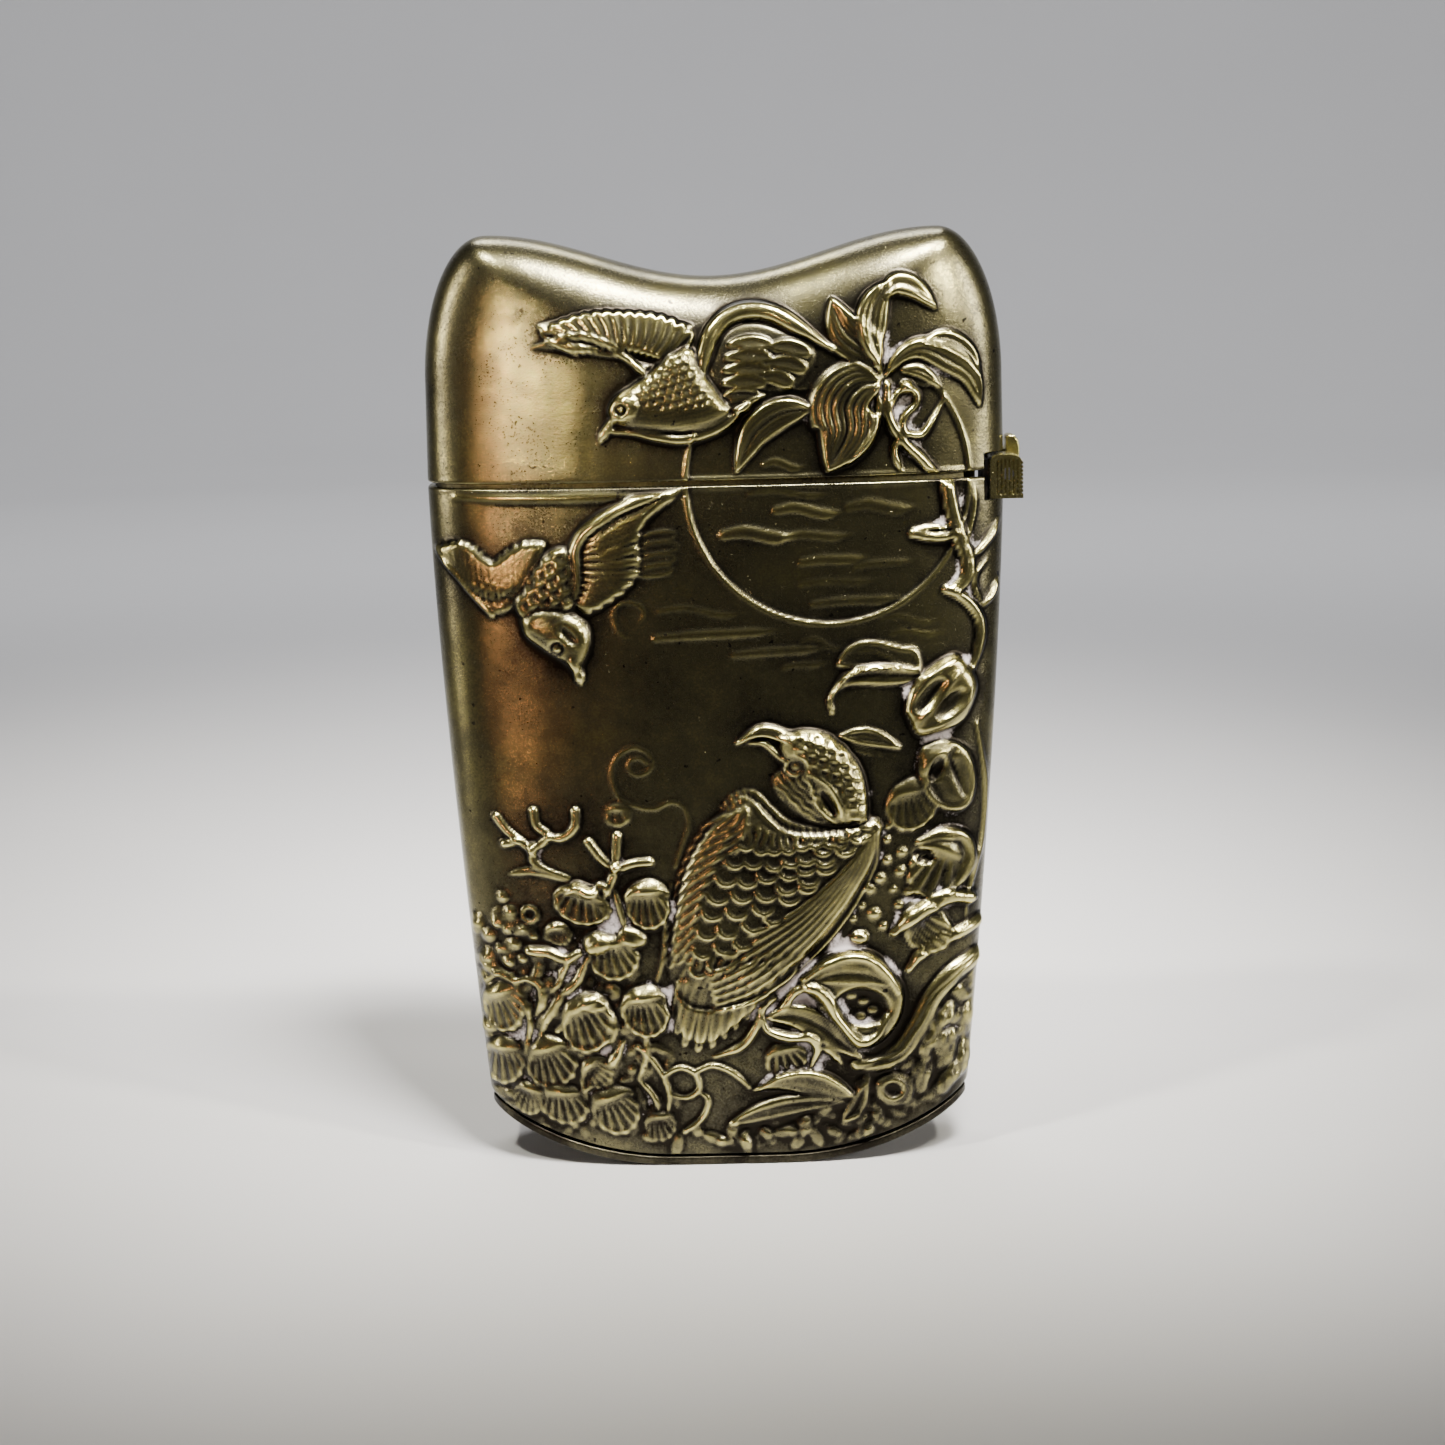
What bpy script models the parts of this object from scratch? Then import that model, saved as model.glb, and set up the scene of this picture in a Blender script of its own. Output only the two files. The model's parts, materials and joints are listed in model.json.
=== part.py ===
"""Hinged pocket case in stamped brass: two shells for the body, two for the lid, and a snap hinge.

Frame: +Z up, +X towards the hinge, -Y the decorated front. The origin is the middle of the flat land
under the base plate, which the case stands on.
"""

import math

import bmesh
import bpy
from mathutils import Matrix, Vector

MM = 0.001

# Whole case
SEAM_HEIGHT = 46.0 * MM
SEAM_GAP = 0.30 * MM
HALF_WIDTH = 19.05 * MM
HALF_DEPTH = 5.50 * MM
SECTION_POWER = 3.0
SHEET = 0.50 * MM
SOLDER_GAP = 0.20 * MM

# Body
FOOT_NARROWING = 2.65 * MM
NARROWING_POWER = 1.45
CORNER_HEIGHT = 3.80 * MM
CORNER_HALF_WIDTH = HALF_WIDTH - FOOT_NARROWING
LAND_HALF_WIDTH = 3.50 * MM
BASE_THICKNESS = 0.60 * MM
BASE_GAP = 0.12 * MM
BASE_END = 0.985

# Lid
LID_HALF_WIDTH = 18.95 * MM
DIP_HEIGHT = 59.1 * MM
CREST_RISE = 2.90 * MM
CREST_HALF_SPAN = 14.7 * MM
SHOULDER_FOOT = 52.5 * MM
TOP_ROUNDING = 9.0 * MM
BLEND_POWER = 4.0
CREST_CLUSTER = 2.2

# Collar inside the mouth of the body
COLLAR_INSET = 0.65 * MM
COLLAR_SHEET = 0.40 * MM
COLLAR_FOOT = 42.5 * MM
COLLAR_TOP = 47.2 * MM

# Hinge
HINGE_X = HALF_WIDTH
HINGE_HALF_LENGTH = 3.20 * MM
KNUCKLE_RADIUS = 1.00 * MM
KNUCKLE_ROOT_X = -1.15 * MM
KNUCKLE_FOOT = -1.60 * MM
CAM_HALF_LENGTH = 0.90 * MM
KNUCKLE_GAP = 0.12 * MM
BORE_RADIUS = 0.50 * MM
PIN_RADIUS = 0.40 * MM
STRAP_INNER = 0.10 * MM
STRAP_OUTER = 0.70 * MM
STRAP_TOP = 2.90 * MM
NOTCH_HALF_LENGTH = HINGE_HALF_LENGTH + 0.12 * MM
NOTCH_BELOW = 1.72 * MM
NOTCH_ABOVE = 1.70 * MM
NOTCH_DEPTH = 2.6 * MM

# Leaf spring that holds the lid shut and open
SPRING_THICKNESS = 0.35 * MM
SPRING_HALF_WIDTH = 1.75 * MM
SPRING_FOOT = 18.5 * MM
SPRING_TOP = 46.8 * MM
SPRING_CAM_CLEARANCE = 0.65 * MM
ANCHOR_THICKNESS = 0.60 * MM
ANCHOR_HALF_WIDTH = 1.50 * MM
ANCHOR_TOP = 26.5 * MM
ANCHOR_WALL_GAP = 0.30 * MM
RIVET_GAP = 0.10 * MM
RIVET_HEIGHTS = {"lower": 20.5 * MM, "upper": 24.5 * MM}
RIVET_SHANK_RADIUS = 0.35 * MM
RIVET_HEAD_RADIUS = 0.70 * MM
RIVET_HEAD_HEIGHT = 0.35 * MM
DRILL_LENGTH = 4.0 * MM

SHELL_COLUMNS = 32
BODY_ROWS = 9
LID_ROWS = 12
COLLAR_COLUMNS = 56
COLLAR_ROWS = 2
BASE_COLUMNS = 24
BASE_ROWS = 6
SPRING_COLUMNS = 4
SPRING_ROWS = 12
ANCHOR_ROWS = 4
DOME_STEPS = 4
ROUND_SEGMENTS = 24
ARC_STEPS = 10


# ---------------------------------------------------------------- outline of the case


def body_half_width(z):
    """Half the width of the body at height z: widest at the seam, narrower towards the foot."""
    fall = max(0.0, SEAM_HEIGHT - z) / (SEAM_HEIGHT - CORNER_HEIGHT)
    return HALF_WIDTH - FOOT_NARROWING * fall**NARROWING_POWER


def lid_half_width(z):
    """Half the width of the lid at height z, with an elliptical shoulder above its foot."""
    if z <= SHOULDER_FOOT:
        share = (z - SEAM_HEIGHT) / (SHOULDER_FOOT - SEAM_HEIGHT)
        return HALF_WIDTH + (LID_HALF_WIDTH - HALF_WIDTH) * max(0.0, share)
    rise = min(1.0, (z - SHOULDER_FOOT) / (DIP_HEIGHT + CREST_RISE - SHOULDER_FOOT))
    return CREST_HALF_SPAN + (LID_HALF_WIDTH - CREST_HALF_SPAN) * math.sqrt(1 - rise**2)


def lid_top(x):
    """Height of the lid's crest line: a dip between two shoulders."""
    across = abs(x)
    if across <= CREST_HALF_SPAN:
        return DIP_HEIGHT + CREST_RISE * (1 - math.cos(math.pi * across / CREST_HALF_SPAN)) / 2
    out = min(1.0, (across - CREST_HALF_SPAN) / (LID_HALF_WIDTH - CREST_HALF_SPAN))
    crest = DIP_HEIGHT + CREST_RISE
    return SHOULDER_FOOT + (crest - SHOULDER_FOOT) * math.sqrt(1 - out**2)


def base_height(x):
    """Height of the underside: a flat land with an arc rising to each bottom corner."""
    run = CORNER_HALF_WIDTH - LAND_HALF_WIDTH
    radius = (run**2 + CORNER_HEIGHT**2) / (2 * CORNER_HEIGHT)
    out = max(0.0, abs(x) - LAND_HALF_WIDTH)
    return radius - math.sqrt(radius**2 - out**2)


def section_x(angle):
    """Sideways part of a rounded section, -1 to 1, as the angle goes from pi to 0."""
    return math.copysign(abs(math.cos(angle)) ** (2 / SECTION_POWER), math.cos(angle))


def rounded(share):
    """Share of the full depth at a share of the way in from the edge."""
    return (1 - (1 - min(1.0, max(0.0, share))) ** SECTION_POWER) ** (1 / SECTION_POWER)


def lid_depth(x, z):
    """Half the depth of the lid at a place on its front, falling to nothing along its outline."""
    from_side = (lid_half_width(z) - abs(x)) / lid_half_width(z)
    from_top = (lid_top(x) - z) / TOP_ROUNDING
    if min(from_side, from_top) <= 1e-6:
        return 0.0
    return HALF_DEPTH * rounded((from_side**-BLEND_POWER + from_top**-BLEND_POWER) ** (-1 / BLEND_POWER))


def crest_point(share):
    """A point on the lid's outline above its straight sides, as the share goes from left 0 to right 1."""
    angle = math.pi * (1 - share)
    shoulder = math.pi / 5
    if angle < shoulder or angle > math.pi - shoulder:
        turn = min(angle, math.pi - angle) / shoulder * math.pi / 2
        x = CREST_HALF_SPAN + (LID_HALF_WIDTH - CREST_HALF_SPAN) * math.cos(turn)
        z = SHOULDER_FOOT + (DIP_HEIGHT + CREST_RISE - SHOULDER_FOOT) * math.sin(turn)
        return math.copysign(x, math.cos(angle)), z
    x = CREST_HALF_SPAN * (math.pi / 2 - angle) / (math.pi / 2 - shoulder)
    return x, lid_top(x)


# ---------------------------------------------------------------- building helpers


def clear_scene():
    for item in list(bpy.data.objects):
        bpy.data.objects.remove(item, do_unlink=True)


def new_collection(name, guide=False):
    collection = bpy.data.collections.new(name)
    collection.hide_render = guide
    bpy.context.scene.collection.children.link(collection)
    return collection


def metal(name, colour, roughness):
    material = bpy.data.materials.new(name)
    material.use_nodes = True
    shader = material.node_tree.nodes["Principled BSDF"]
    shader.inputs["Base Color"].default_value = (*colour, 1.0)
    shader.inputs["Metallic"].default_value = 1.0
    shader.inputs["Roughness"].default_value = roughness
    material.diffuse_color = (*colour, 1.0)
    return material


def move_to(item, collection):
    for owner in list(item.users_collection):
        owner.objects.unlink(item)
    collection.objects.link(item)


def add_mesh(name, form, collection, material=None):
    """Turns a bmesh into a smooth-shaded object."""
    mesh = bpy.data.meshes.new(name)
    form.to_mesh(mesh)
    form.free()
    mesh.shade_smooth()
    mesh.set_sharp_from_angle(angle=math.radians(35))
    item = bpy.data.objects.new(name, mesh)
    collection.objects.link(item)
    if material:
        mesh.materials.append(material)
    return item


def add_sheet(name, place, columns, rows, outward, thickness, collection, material):
    """A pressed sheet: an open grid bent to place(across, up), thickened away from its outer face."""
    form = bmesh.new()
    bmesh.ops.create_grid(form, x_segments=columns, y_segments=rows, size=0.5)
    for vert in form.verts:
        vert.co = Vector(place(vert.co.x + 0.5, vert.co.y + 0.5))
    form.normal_update()
    foremost = max(form.faces, key=lambda face: face.calc_center_median().dot(outward))
    if foremost.normal.dot(outward) < 0:
        bmesh.ops.reverse_faces(form, faces=form.faces)
    item = add_mesh(name, form, collection, material)
    thicken = item.modifiers.new("sheet", "SOLIDIFY")
    thicken.thickness = thickness
    thicken.offset = -1
    thicken.use_even_offset = True
    return item


def add_box_cutter(name, low, high, collection):
    form = bmesh.new()
    bmesh.ops.create_cube(form, size=1.0)
    low = Vector(low)
    high = Vector(high)
    bmesh.ops.scale(form, vec=high - low, verts=form.verts)
    bmesh.ops.translate(form, vec=(low + high) / 2, verts=form.verts)
    return as_cutter(add_mesh(name, form, collection))


def add_drill(name, radius, length, place, collection):
    """A round cutter along the given placement's own Z axis."""
    form = bmesh.new()
    bmesh.ops.create_cone(
        form, cap_ends=True, segments=ROUND_SEGMENTS, radius1=radius, radius2=radius, depth=length
    )
    item = as_cutter(add_mesh(name, form, collection))
    item.matrix_world = place
    return item


def as_cutter(item):
    item.hide_render = True
    item.display_type = "WIRE"
    return item


def cut(item, cutter):
    step = item.modifiers.new("cut_" + cutter.name, "BOOLEAN")
    step.operation = "DIFFERENCE"
    step.object = cutter
    step.solver = "EXACT"


def add_profile(name, loops, half_length, middle_y, collection, material):
    """An outline in the XZ plane about the hinge axis, with any holes, given a length along Y."""
    curve = bpy.data.curves.new(name, "CURVE")
    curve.dimensions = "2D"
    curve.fill_mode = "BOTH"
    curve.extrude = half_length
    for points in loops:
        spline = curve.splines.new("POLY")
        spline.points.add(len(points) - 1)
        spline.use_cyclic_u = True
        for point, (x, z) in zip(spline.points, points):
            point.co = (x, z, 0.0, 1.0)
    flat = bpy.data.objects.new(name + "_outline", curve)
    collection.objects.link(flat)
    bpy.context.view_layer.update()
    form = bmesh.new()
    mesh = bpy.data.meshes.new_from_object(flat.evaluated_get(bpy.context.evaluated_depsgraph_get()))
    form.from_mesh(mesh)
    bmesh.ops.remove_doubles(form, verts=form.verts, dist=0.0000005)
    bmesh.ops.recalc_face_normals(form, faces=form.faces)
    bpy.data.objects.remove(flat, do_unlink=True)
    bpy.data.meshes.remove(mesh)
    item = add_mesh(name, form, collection, material)
    stand_up = Matrix.Rotation(math.radians(90), 4, "X")
    item.matrix_world = Matrix.Translation((HINGE_X, middle_y, SEAM_HEIGHT)) @ stand_up
    return item


def arc(radius, start, end, steps):
    """Points along an arc about the hinge axis, angles in degrees."""
    angles = [math.radians(start + (end - start) * step / steps) for step in range(steps + 1)]
    return [(radius * math.cos(angle), radius * math.sin(angle)) for angle in angles]


# ---------------------------------------------------------------- shells


def body_shell_place(side):
    def place(across, up):
        angle = math.pi * (1 - across)
        foot = base_height(CORNER_HALF_WIDTH * section_x(angle)) + BASE_THICKNESS + BASE_GAP
        z = foot + (SEAM_HEIGHT - SEAM_GAP / 2 - foot) * up
        x = body_half_width(z) * section_x(angle)
        depth = abs(math.sin(angle)) ** (2 / SECTION_POWER) * (HALF_DEPTH - SOLDER_GAP / 2)
        return x, side * (SOLDER_GAP / 2 + depth), z

    return place


def lid_shell_place(side):
    def place(across, up):
        seam_x = HALF_WIDTH * section_x(math.pi * (1 - across))
        seam_z = SEAM_HEIGHT + SEAM_GAP / 2
        crest_x, crest_z = crest_point(across)
        left = (1 - up) ** CREST_CLUSTER
        x = crest_x + (seam_x - crest_x) * left
        z = crest_z + (seam_z - crest_z) * left
        if across in (0.0, 1.0):
            x = math.copysign(lid_half_width(z), x)
            return x, side * SOLDER_GAP / 2, z
        depth = lid_depth(x, z) * (1 - SOLDER_GAP / 2 / HALF_DEPTH)
        return x, side * (SOLDER_GAP / 2 + depth), z

    return place


def make_shells(parts, brass, notches):
    for side, label in ((-1, "front"), (1, "back")):
        outward = Vector((0, side, 0))
        body = add_sheet(
            f"body_{label}_shell",
            body_shell_place(side),
            SHELL_COLUMNS,
            BODY_ROWS,
            outward,
            SHEET,
            parts,
            brass,
        )
        cut(body, notches["body"])
        lid = add_sheet(
            f"lid_{label}_shell",
            lid_shell_place(side),
            SHELL_COLUMNS,
            LID_ROWS,
            outward,
            SHEET,
            parts,
            brass,
        )
        cut(lid, notches["lid"])


def make_base_plate(parts, brass):
    """The bent plate that closes the foot, with its flat land at the origin."""

    def place(across, deep):
        x = CORNER_HALF_WIDTH * BASE_END * math.sin(math.pi * (across - 0.5))
        if abs(x) < LAND_HALF_WIDTH:
            # The columns next to the middle one move out to the two edges of the land.
            x = round(x / LAND_HALF_WIDTH) * LAND_HALF_WIDTH
        half = HALF_DEPTH * rounded(1 - abs(x) / CORNER_HALF_WIDTH)
        return x, half * (2 * deep - 1), base_height(x)

    down = Vector((0, 0, -1))
    add_sheet("base_plate", place, BASE_COLUMNS, BASE_ROWS, down, BASE_THICKNESS, parts, brass)


def make_collar(parts, brass):
    """The liner strip in the mouth that the lid closes over, open at the hinge."""
    depth = HALF_DEPTH - COLLAR_INSET
    opening = math.asin((NOTCH_HALF_LENGTH / depth) ** (SECTION_POWER / 2))

    def place(around, up):
        angle = opening + (2 * math.pi - 2 * opening) * around
        z = COLLAR_FOOT + (COLLAR_TOP - COLLAR_FOOT) * up
        x = (body_half_width(min(z, SEAM_HEIGHT)) - COLLAR_INSET) * section_x(angle)
        y = math.copysign(abs(math.sin(angle)) ** (2 / SECTION_POWER), math.sin(angle)) * depth
        return x, y, z

    forward = Vector((0, -1, 0))
    add_sheet("mouth_collar", place, COLLAR_COLUMNS, COLLAR_ROWS, forward, COLLAR_SHEET, parts, brass)


# ---------------------------------------------------------------- hinge


def make_hinge(parts, brass, steel):
    bore = arc(BORE_RADIUS, 0, 360, ROUND_SEGMENTS)[:-1]
    knuckle = arc(KNUCKLE_RADIUS, 0, 180, ARC_STEPS) + [
        (KNUCKLE_ROOT_X, -0.2 * MM),
        (KNUCKLE_ROOT_X, KNUCKLE_FOOT),
        (KNUCKLE_RADIUS, KNUCKLE_FOOT),
    ]
    length = (HINGE_HALF_LENGTH - CAM_HALF_LENGTH - KNUCKLE_GAP) / 2
    for side, label in ((-1, "front"), (1, "rear")):
        middle = side * (CAM_HALF_LENGTH + KNUCKLE_GAP + length)
        add_profile(f"hinge_knuckle_{label}", [knuckle, bore], length, middle, parts, brass)

    cam = [
        (-KNUCKLE_RADIUS, -KNUCKLE_RADIUS),
        (KNUCKLE_RADIUS, -KNUCKLE_RADIUS),
        (KNUCKLE_RADIUS, KNUCKLE_RADIUS),
        (STRAP_OUTER, KNUCKLE_RADIUS + STRAP_OUTER / 2),
        (STRAP_OUTER, STRAP_TOP),
        (STRAP_INNER, STRAP_TOP),
        (STRAP_INNER, KNUCKLE_RADIUS),
        (-KNUCKLE_RADIUS, KNUCKLE_RADIUS),
    ]
    add_profile("hinge_knuckle_lid", [cam, bore], CAM_HALF_LENGTH, 0.0, parts, brass)

    form = bmesh.new()
    bmesh.ops.create_cone(
        form,
        cap_ends=True,
        segments=ROUND_SEGMENTS,
        radius1=PIN_RADIUS,
        radius2=PIN_RADIUS,
        depth=2 * HINGE_HALF_LENGTH,
    )
    pin = add_mesh("hinge_pin", form, parts, steel)
    lie_across = Matrix.Rotation(math.radians(90), 4, "X")
    pin.matrix_world = Matrix.Translation((HINGE_X, 0, SEAM_HEIGHT)) @ lie_across


# ---------------------------------------------------------------- spring


def inner_wall_x(z):
    return body_half_width(z) - SHEET


def anchor_face_x(z):
    return inner_wall_x(z) - ANCHOR_WALL_GAP


def spring_face_x(z):
    """The spring's outer face: clamped on the anchor, then bearing lightly on the lid's cam."""
    clamped = ANCHOR_WALL_GAP + ANCHOR_THICKNESS + RIVET_GAP
    share = max(0.0, (z - ANCHOR_TOP) / (SEAM_HEIGHT - ANCHOR_TOP))
    smooth = min(1.0, share) ** 2 * (3 - 2 * min(1.0, share))
    return inner_wall_x(z) - clamped + (clamped - SPRING_CAM_CLEARANCE) * smooth


def make_spring(parts, steel, brass, cutters):
    def spring_place(across, up):
        z = SPRING_FOOT + (SPRING_TOP - SPRING_FOOT) * up
        return spring_face_x(z), SPRING_HALF_WIDTH * (2 * across - 1), z

    def anchor_place(across, up):
        z = SPRING_FOOT + (ANCHOR_TOP - SPRING_FOOT) * up
        return anchor_face_x(z), ANCHOR_HALF_WIDTH * (2 * across - 1), z

    outward = Vector((1, 0, 0))
    spring = add_sheet(
        "leaf_spring",
        spring_place,
        SPRING_COLUMNS,
        SPRING_ROWS,
        outward,
        SPRING_THICKNESS,
        parts,
        steel,
    )
    anchor = add_sheet(
        "spring_anchor",
        anchor_place,
        SPRING_COLUMNS,
        ANCHOR_ROWS,
        outward,
        ANCHOR_THICKNESS,
        parts,
        brass,
    )
    for label, z in RIVET_HEIGHTS.items():
        span = 1.0 * MM
        lean = math.atan((anchor_face_x(z + span / 2) - anchor_face_x(z - span / 2)) / span)
        inward = Matrix.Rotation(-math.radians(90) + lean, 4, "Y")
        place = Matrix.Translation((anchor_face_x(z), 0, z)) @ inward
        hole = RIVET_SHANK_RADIUS + RIVET_GAP
        drill = add_drill(f"rivet_hole_{label}", hole, DRILL_LENGTH, place, cutters)
        cut(spring, drill)
        cut(anchor, drill)
        make_rivet(f"spring_rivet_{label}", place, parts, brass)


def make_rivet(name, place, parts, brass):
    """A domed rivet, turned about its own Z axis, with the shank's end at its origin."""
    grip = ANCHOR_THICKNESS + SPRING_THICKNESS + 2 * RIVET_GAP
    dome = [
        (RIVET_HEAD_RADIUS * math.sin(turn), grip + RIVET_HEAD_HEIGHT * math.cos(turn))
        for turn in (math.pi / 2 * step / DOME_STEPS for step in range(DOME_STEPS + 1))
    ]
    profile = dome + [(RIVET_SHANK_RADIUS, grip), (RIVET_SHANK_RADIUS, 0.0), (0.0, 0.0)]
    form = bmesh.new()
    verts = [form.verts.new((x, 0.0, z)) for x, z in profile]
    for first, second in zip(verts, verts[1:]):
        form.edges.new((first, second))
    rivet = add_mesh(name, form, parts, brass)
    rivet.matrix_world = place
    turn = rivet.modifiers.new("turned", "SCREW")
    turn.angle = math.radians(360)
    turn.steps = ROUND_SEGMENTS
    turn.render_steps = ROUND_SEGMENTS
    turn.use_merge_vertices = True
    turn.merge_threshold = 0.000001


# ---------------------------------------------------------------- assembly


def make_notches(cutters):
    """The openings in the right-hand walls that the hinge sits in."""
    inner = HINGE_X - NOTCH_DEPTH
    outer = HINGE_X + NOTCH_DEPTH
    body = add_box_cutter(
        "body_notch",
        (inner, -NOTCH_HALF_LENGTH, SEAM_HEIGHT - NOTCH_BELOW),
        (outer, NOTCH_HALF_LENGTH, SEAM_HEIGHT + 0.1 * MM),
        cutters,
    )
    lid = add_box_cutter(
        "lid_notch",
        (inner, -NOTCH_HALF_LENGTH, SEAM_HEIGHT - 0.1 * MM),
        (outer, NOTCH_HALF_LENGTH, SEAM_HEIGHT + NOTCH_ABOVE),
        cutters,
    )
    return {"body": body, "lid": lid}


def hang_lid_on_hinge(parts):
    """An empty on the hinge axis carries the three pieces that swing."""
    pivot = bpy.data.objects.new("lid_pivot", None)
    parts.objects.link(pivot)
    pivot.empty_display_size = 3 * MM
    pivot.location = (HINGE_X, 0, SEAM_HEIGHT)
    bpy.context.view_layer.update()
    for name in ("lid_front_shell", "lid_back_shell", "hinge_knuckle_lid"):
        item = bpy.data.objects[name]
        item.parent = pivot
        item.matrix_parent_inverse = pivot.matrix_world.inverted()


def main():
    clear_scene()
    parts = new_collection("pocket_case")
    cutters = new_collection("cutters", guide=True)
    brass = metal("aged_brass", (0.42, 0.32, 0.13), 0.34)
    soldered_brass = metal("inner_brass", (0.50, 0.40, 0.19), 0.42)
    steel = metal("spring_steel", (0.30, 0.29, 0.27), 0.38)
    make_shells(parts, brass, make_notches(cutters))
    make_base_plate(parts, brass)
    make_collar(parts, soldered_brass)
    make_hinge(parts, brass, steel)
    make_spring(parts, steel, soldered_brass, cutters)
    hang_lid_on_hinge(parts)


main()
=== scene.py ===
import json
import math

import bmesh
import bpy
import numpy as np
from mathutils import Matrix, Vector


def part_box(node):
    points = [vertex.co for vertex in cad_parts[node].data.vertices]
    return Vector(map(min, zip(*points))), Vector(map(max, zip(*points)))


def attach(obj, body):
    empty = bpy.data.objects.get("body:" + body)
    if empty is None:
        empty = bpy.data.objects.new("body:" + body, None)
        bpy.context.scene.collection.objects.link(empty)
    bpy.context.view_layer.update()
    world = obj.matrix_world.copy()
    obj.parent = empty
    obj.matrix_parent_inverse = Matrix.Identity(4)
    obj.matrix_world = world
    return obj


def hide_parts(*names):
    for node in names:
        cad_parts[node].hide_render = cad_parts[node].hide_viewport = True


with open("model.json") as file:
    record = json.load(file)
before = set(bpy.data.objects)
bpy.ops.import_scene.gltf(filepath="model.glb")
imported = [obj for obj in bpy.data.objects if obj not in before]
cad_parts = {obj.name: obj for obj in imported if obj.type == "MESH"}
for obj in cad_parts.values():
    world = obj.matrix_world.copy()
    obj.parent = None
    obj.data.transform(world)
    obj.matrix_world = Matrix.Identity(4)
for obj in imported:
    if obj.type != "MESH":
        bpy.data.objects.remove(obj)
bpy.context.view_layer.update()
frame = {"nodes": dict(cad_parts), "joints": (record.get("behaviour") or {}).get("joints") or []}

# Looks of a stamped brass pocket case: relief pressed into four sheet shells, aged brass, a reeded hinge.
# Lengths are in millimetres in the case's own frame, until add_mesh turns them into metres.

MM = 0.001

# ---------------------------------------------------------------- sizes read from the frame


def box_mm(node):
    low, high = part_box(node)
    return np.array(low) / MM, np.array(high) / MM


BODY_LOW, BODY_HIGH = box_mm("body_front_shell")
HINGE = np.array(frame["joints"][0]["pos_m"]) / MM
SEAM = HINGE[2]
HALF_WIDTH = BODY_HIGH[0]
HALF_DEPTH = -BODY_LOW[1]
TOP = box_mm("lid_front_shell")[1][2]
BASE_HALF_WIDTH = box_mm("base_plate")[1][0]

# Shape of the case between those sizes, the same rules as the solids follow
SHEET = 0.50
BASE_THICKNESS = 0.60
SECTION_POWER = 3.0
FOOT_NARROWING = 2.65
NARROWING_POWER = 1.45
CORNER_HEIGHT = 3.80
CORNER_HALF_WIDTH = HALF_WIDTH - FOOT_NARROWING
LAND_HALF_WIDTH = 3.50
LID_HALF_WIDTH = HALF_WIDTH - 0.10
CREST_HALF_SPAN = 14.7
CREST_RISE = 2.90
SHOULDER_FOOT = TOP - 9.5
SHOULDER_ANGLE = math.pi / 5
TOP_ROUNDING = 9.0
BLEND_POWER = 4.0
BODY_LIFT = BODY_LOW[2]
DIP = TOP - CREST_RISE

# The seam between body and lid opens a little to the right. The front and back halves stop just short of
# each other, at a hairline.
SEAM_CLEARANCE = 0.13
SEAM_WIDENING = 0.16
HAIRLINE = 0.012

# Hinge: the knuckles end just past the pin, inside notches cut in both halves
HINGE_HALF_LENGTH = box_mm("hinge_pin")[1][1]
NOTCH_HALF_LENGTH = HINGE_HALF_LENGTH + 0.12
NOTCH_REACH = 2.6
NOTCH_BELOW = 1.72
NOTCH_ABOVE = 1.42
NOTCH_PAST_SEAM = 0.5

# Spacing of the fine meshes, on the reliefs and where the wall is plain. The columns are spaced out along
# a section of about the middle width of each half.
BODY_PITCH = 0.14
LID_PITCH = 0.11
BODY_SIDE_PITCH = 0.40
LID_SIDE_PITCH = 0.25
INNER_ROWS = 20
FINE_STEPS = 8001
BODY_SPACING_HALF_WIDTH = 18.0
LID_SPACING_HALF_WIDTH = 19.0
QUAIL_LEFT = -7.0
QUAIL_RIGHT = 12.0
QUAIL_TOP = 30.0

# Share of the depth, out from the side seam, where the pressing starts, and the run over which it comes up
SIDE_FADE_START = 0.24
SIDE_FADE_RUN = 0.22

# Hinge knuckles: the round part, the fine teeth down the outer side, and the gap between neighbours
KNUCKLE_RADIUS = 1.0
TOOTH_PITCH = 0.26
TOOTH_DEPTH = 0.09
TOOTH_COUNT = 9
LOWEST_TOOTH = -1.45
CAM_HALF_LENGTH = 0.9
KNUCKLE_GAP = 0.12


def body_half_width(z):
    fall = np.maximum(0.0, SEAM - z) / (SEAM - CORNER_HEIGHT)
    return HALF_WIDTH - FOOT_NARROWING * fall**NARROWING_POWER


def base_height(x):
    run = CORNER_HALF_WIDTH - LAND_HALF_WIDTH
    radius = (run**2 + CORNER_HEIGHT**2) / (2 * CORNER_HEIGHT)
    out = np.maximum(0.0, np.abs(x) - LAND_HALF_WIDTH)
    return radius - np.sqrt(radius**2 - out**2)


def lid_half_width(z):
    straight = np.clip((z - SEAM) / (SHOULDER_FOOT - SEAM), 0.0, 1.0)
    side = HALF_WIDTH + (LID_HALF_WIDTH - HALF_WIDTH) * straight
    rise = np.clip((z - SHOULDER_FOOT) / (TOP - SHOULDER_FOOT), 0.0, 1.0)
    shoulder = CREST_HALF_SPAN + (LID_HALF_WIDTH - CREST_HALF_SPAN) * np.sqrt(1 - rise**2)
    return np.where(z <= SHOULDER_FOOT, side, shoulder)


def lid_top(x):
    across = np.abs(x)
    dip = TOP - CREST_RISE * (1 + np.cos(math.pi * np.minimum(across / CREST_HALF_SPAN, 1.0))) / 2
    out = np.clip((across - CREST_HALF_SPAN) / (LID_HALF_WIDTH - CREST_HALF_SPAN), 0.0, 1.0)
    shoulder = SHOULDER_FOOT + (TOP - SHOULDER_FOOT) * np.sqrt(1 - out**2)
    return np.where(across <= CREST_HALF_SPAN, dip, shoulder)


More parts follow.
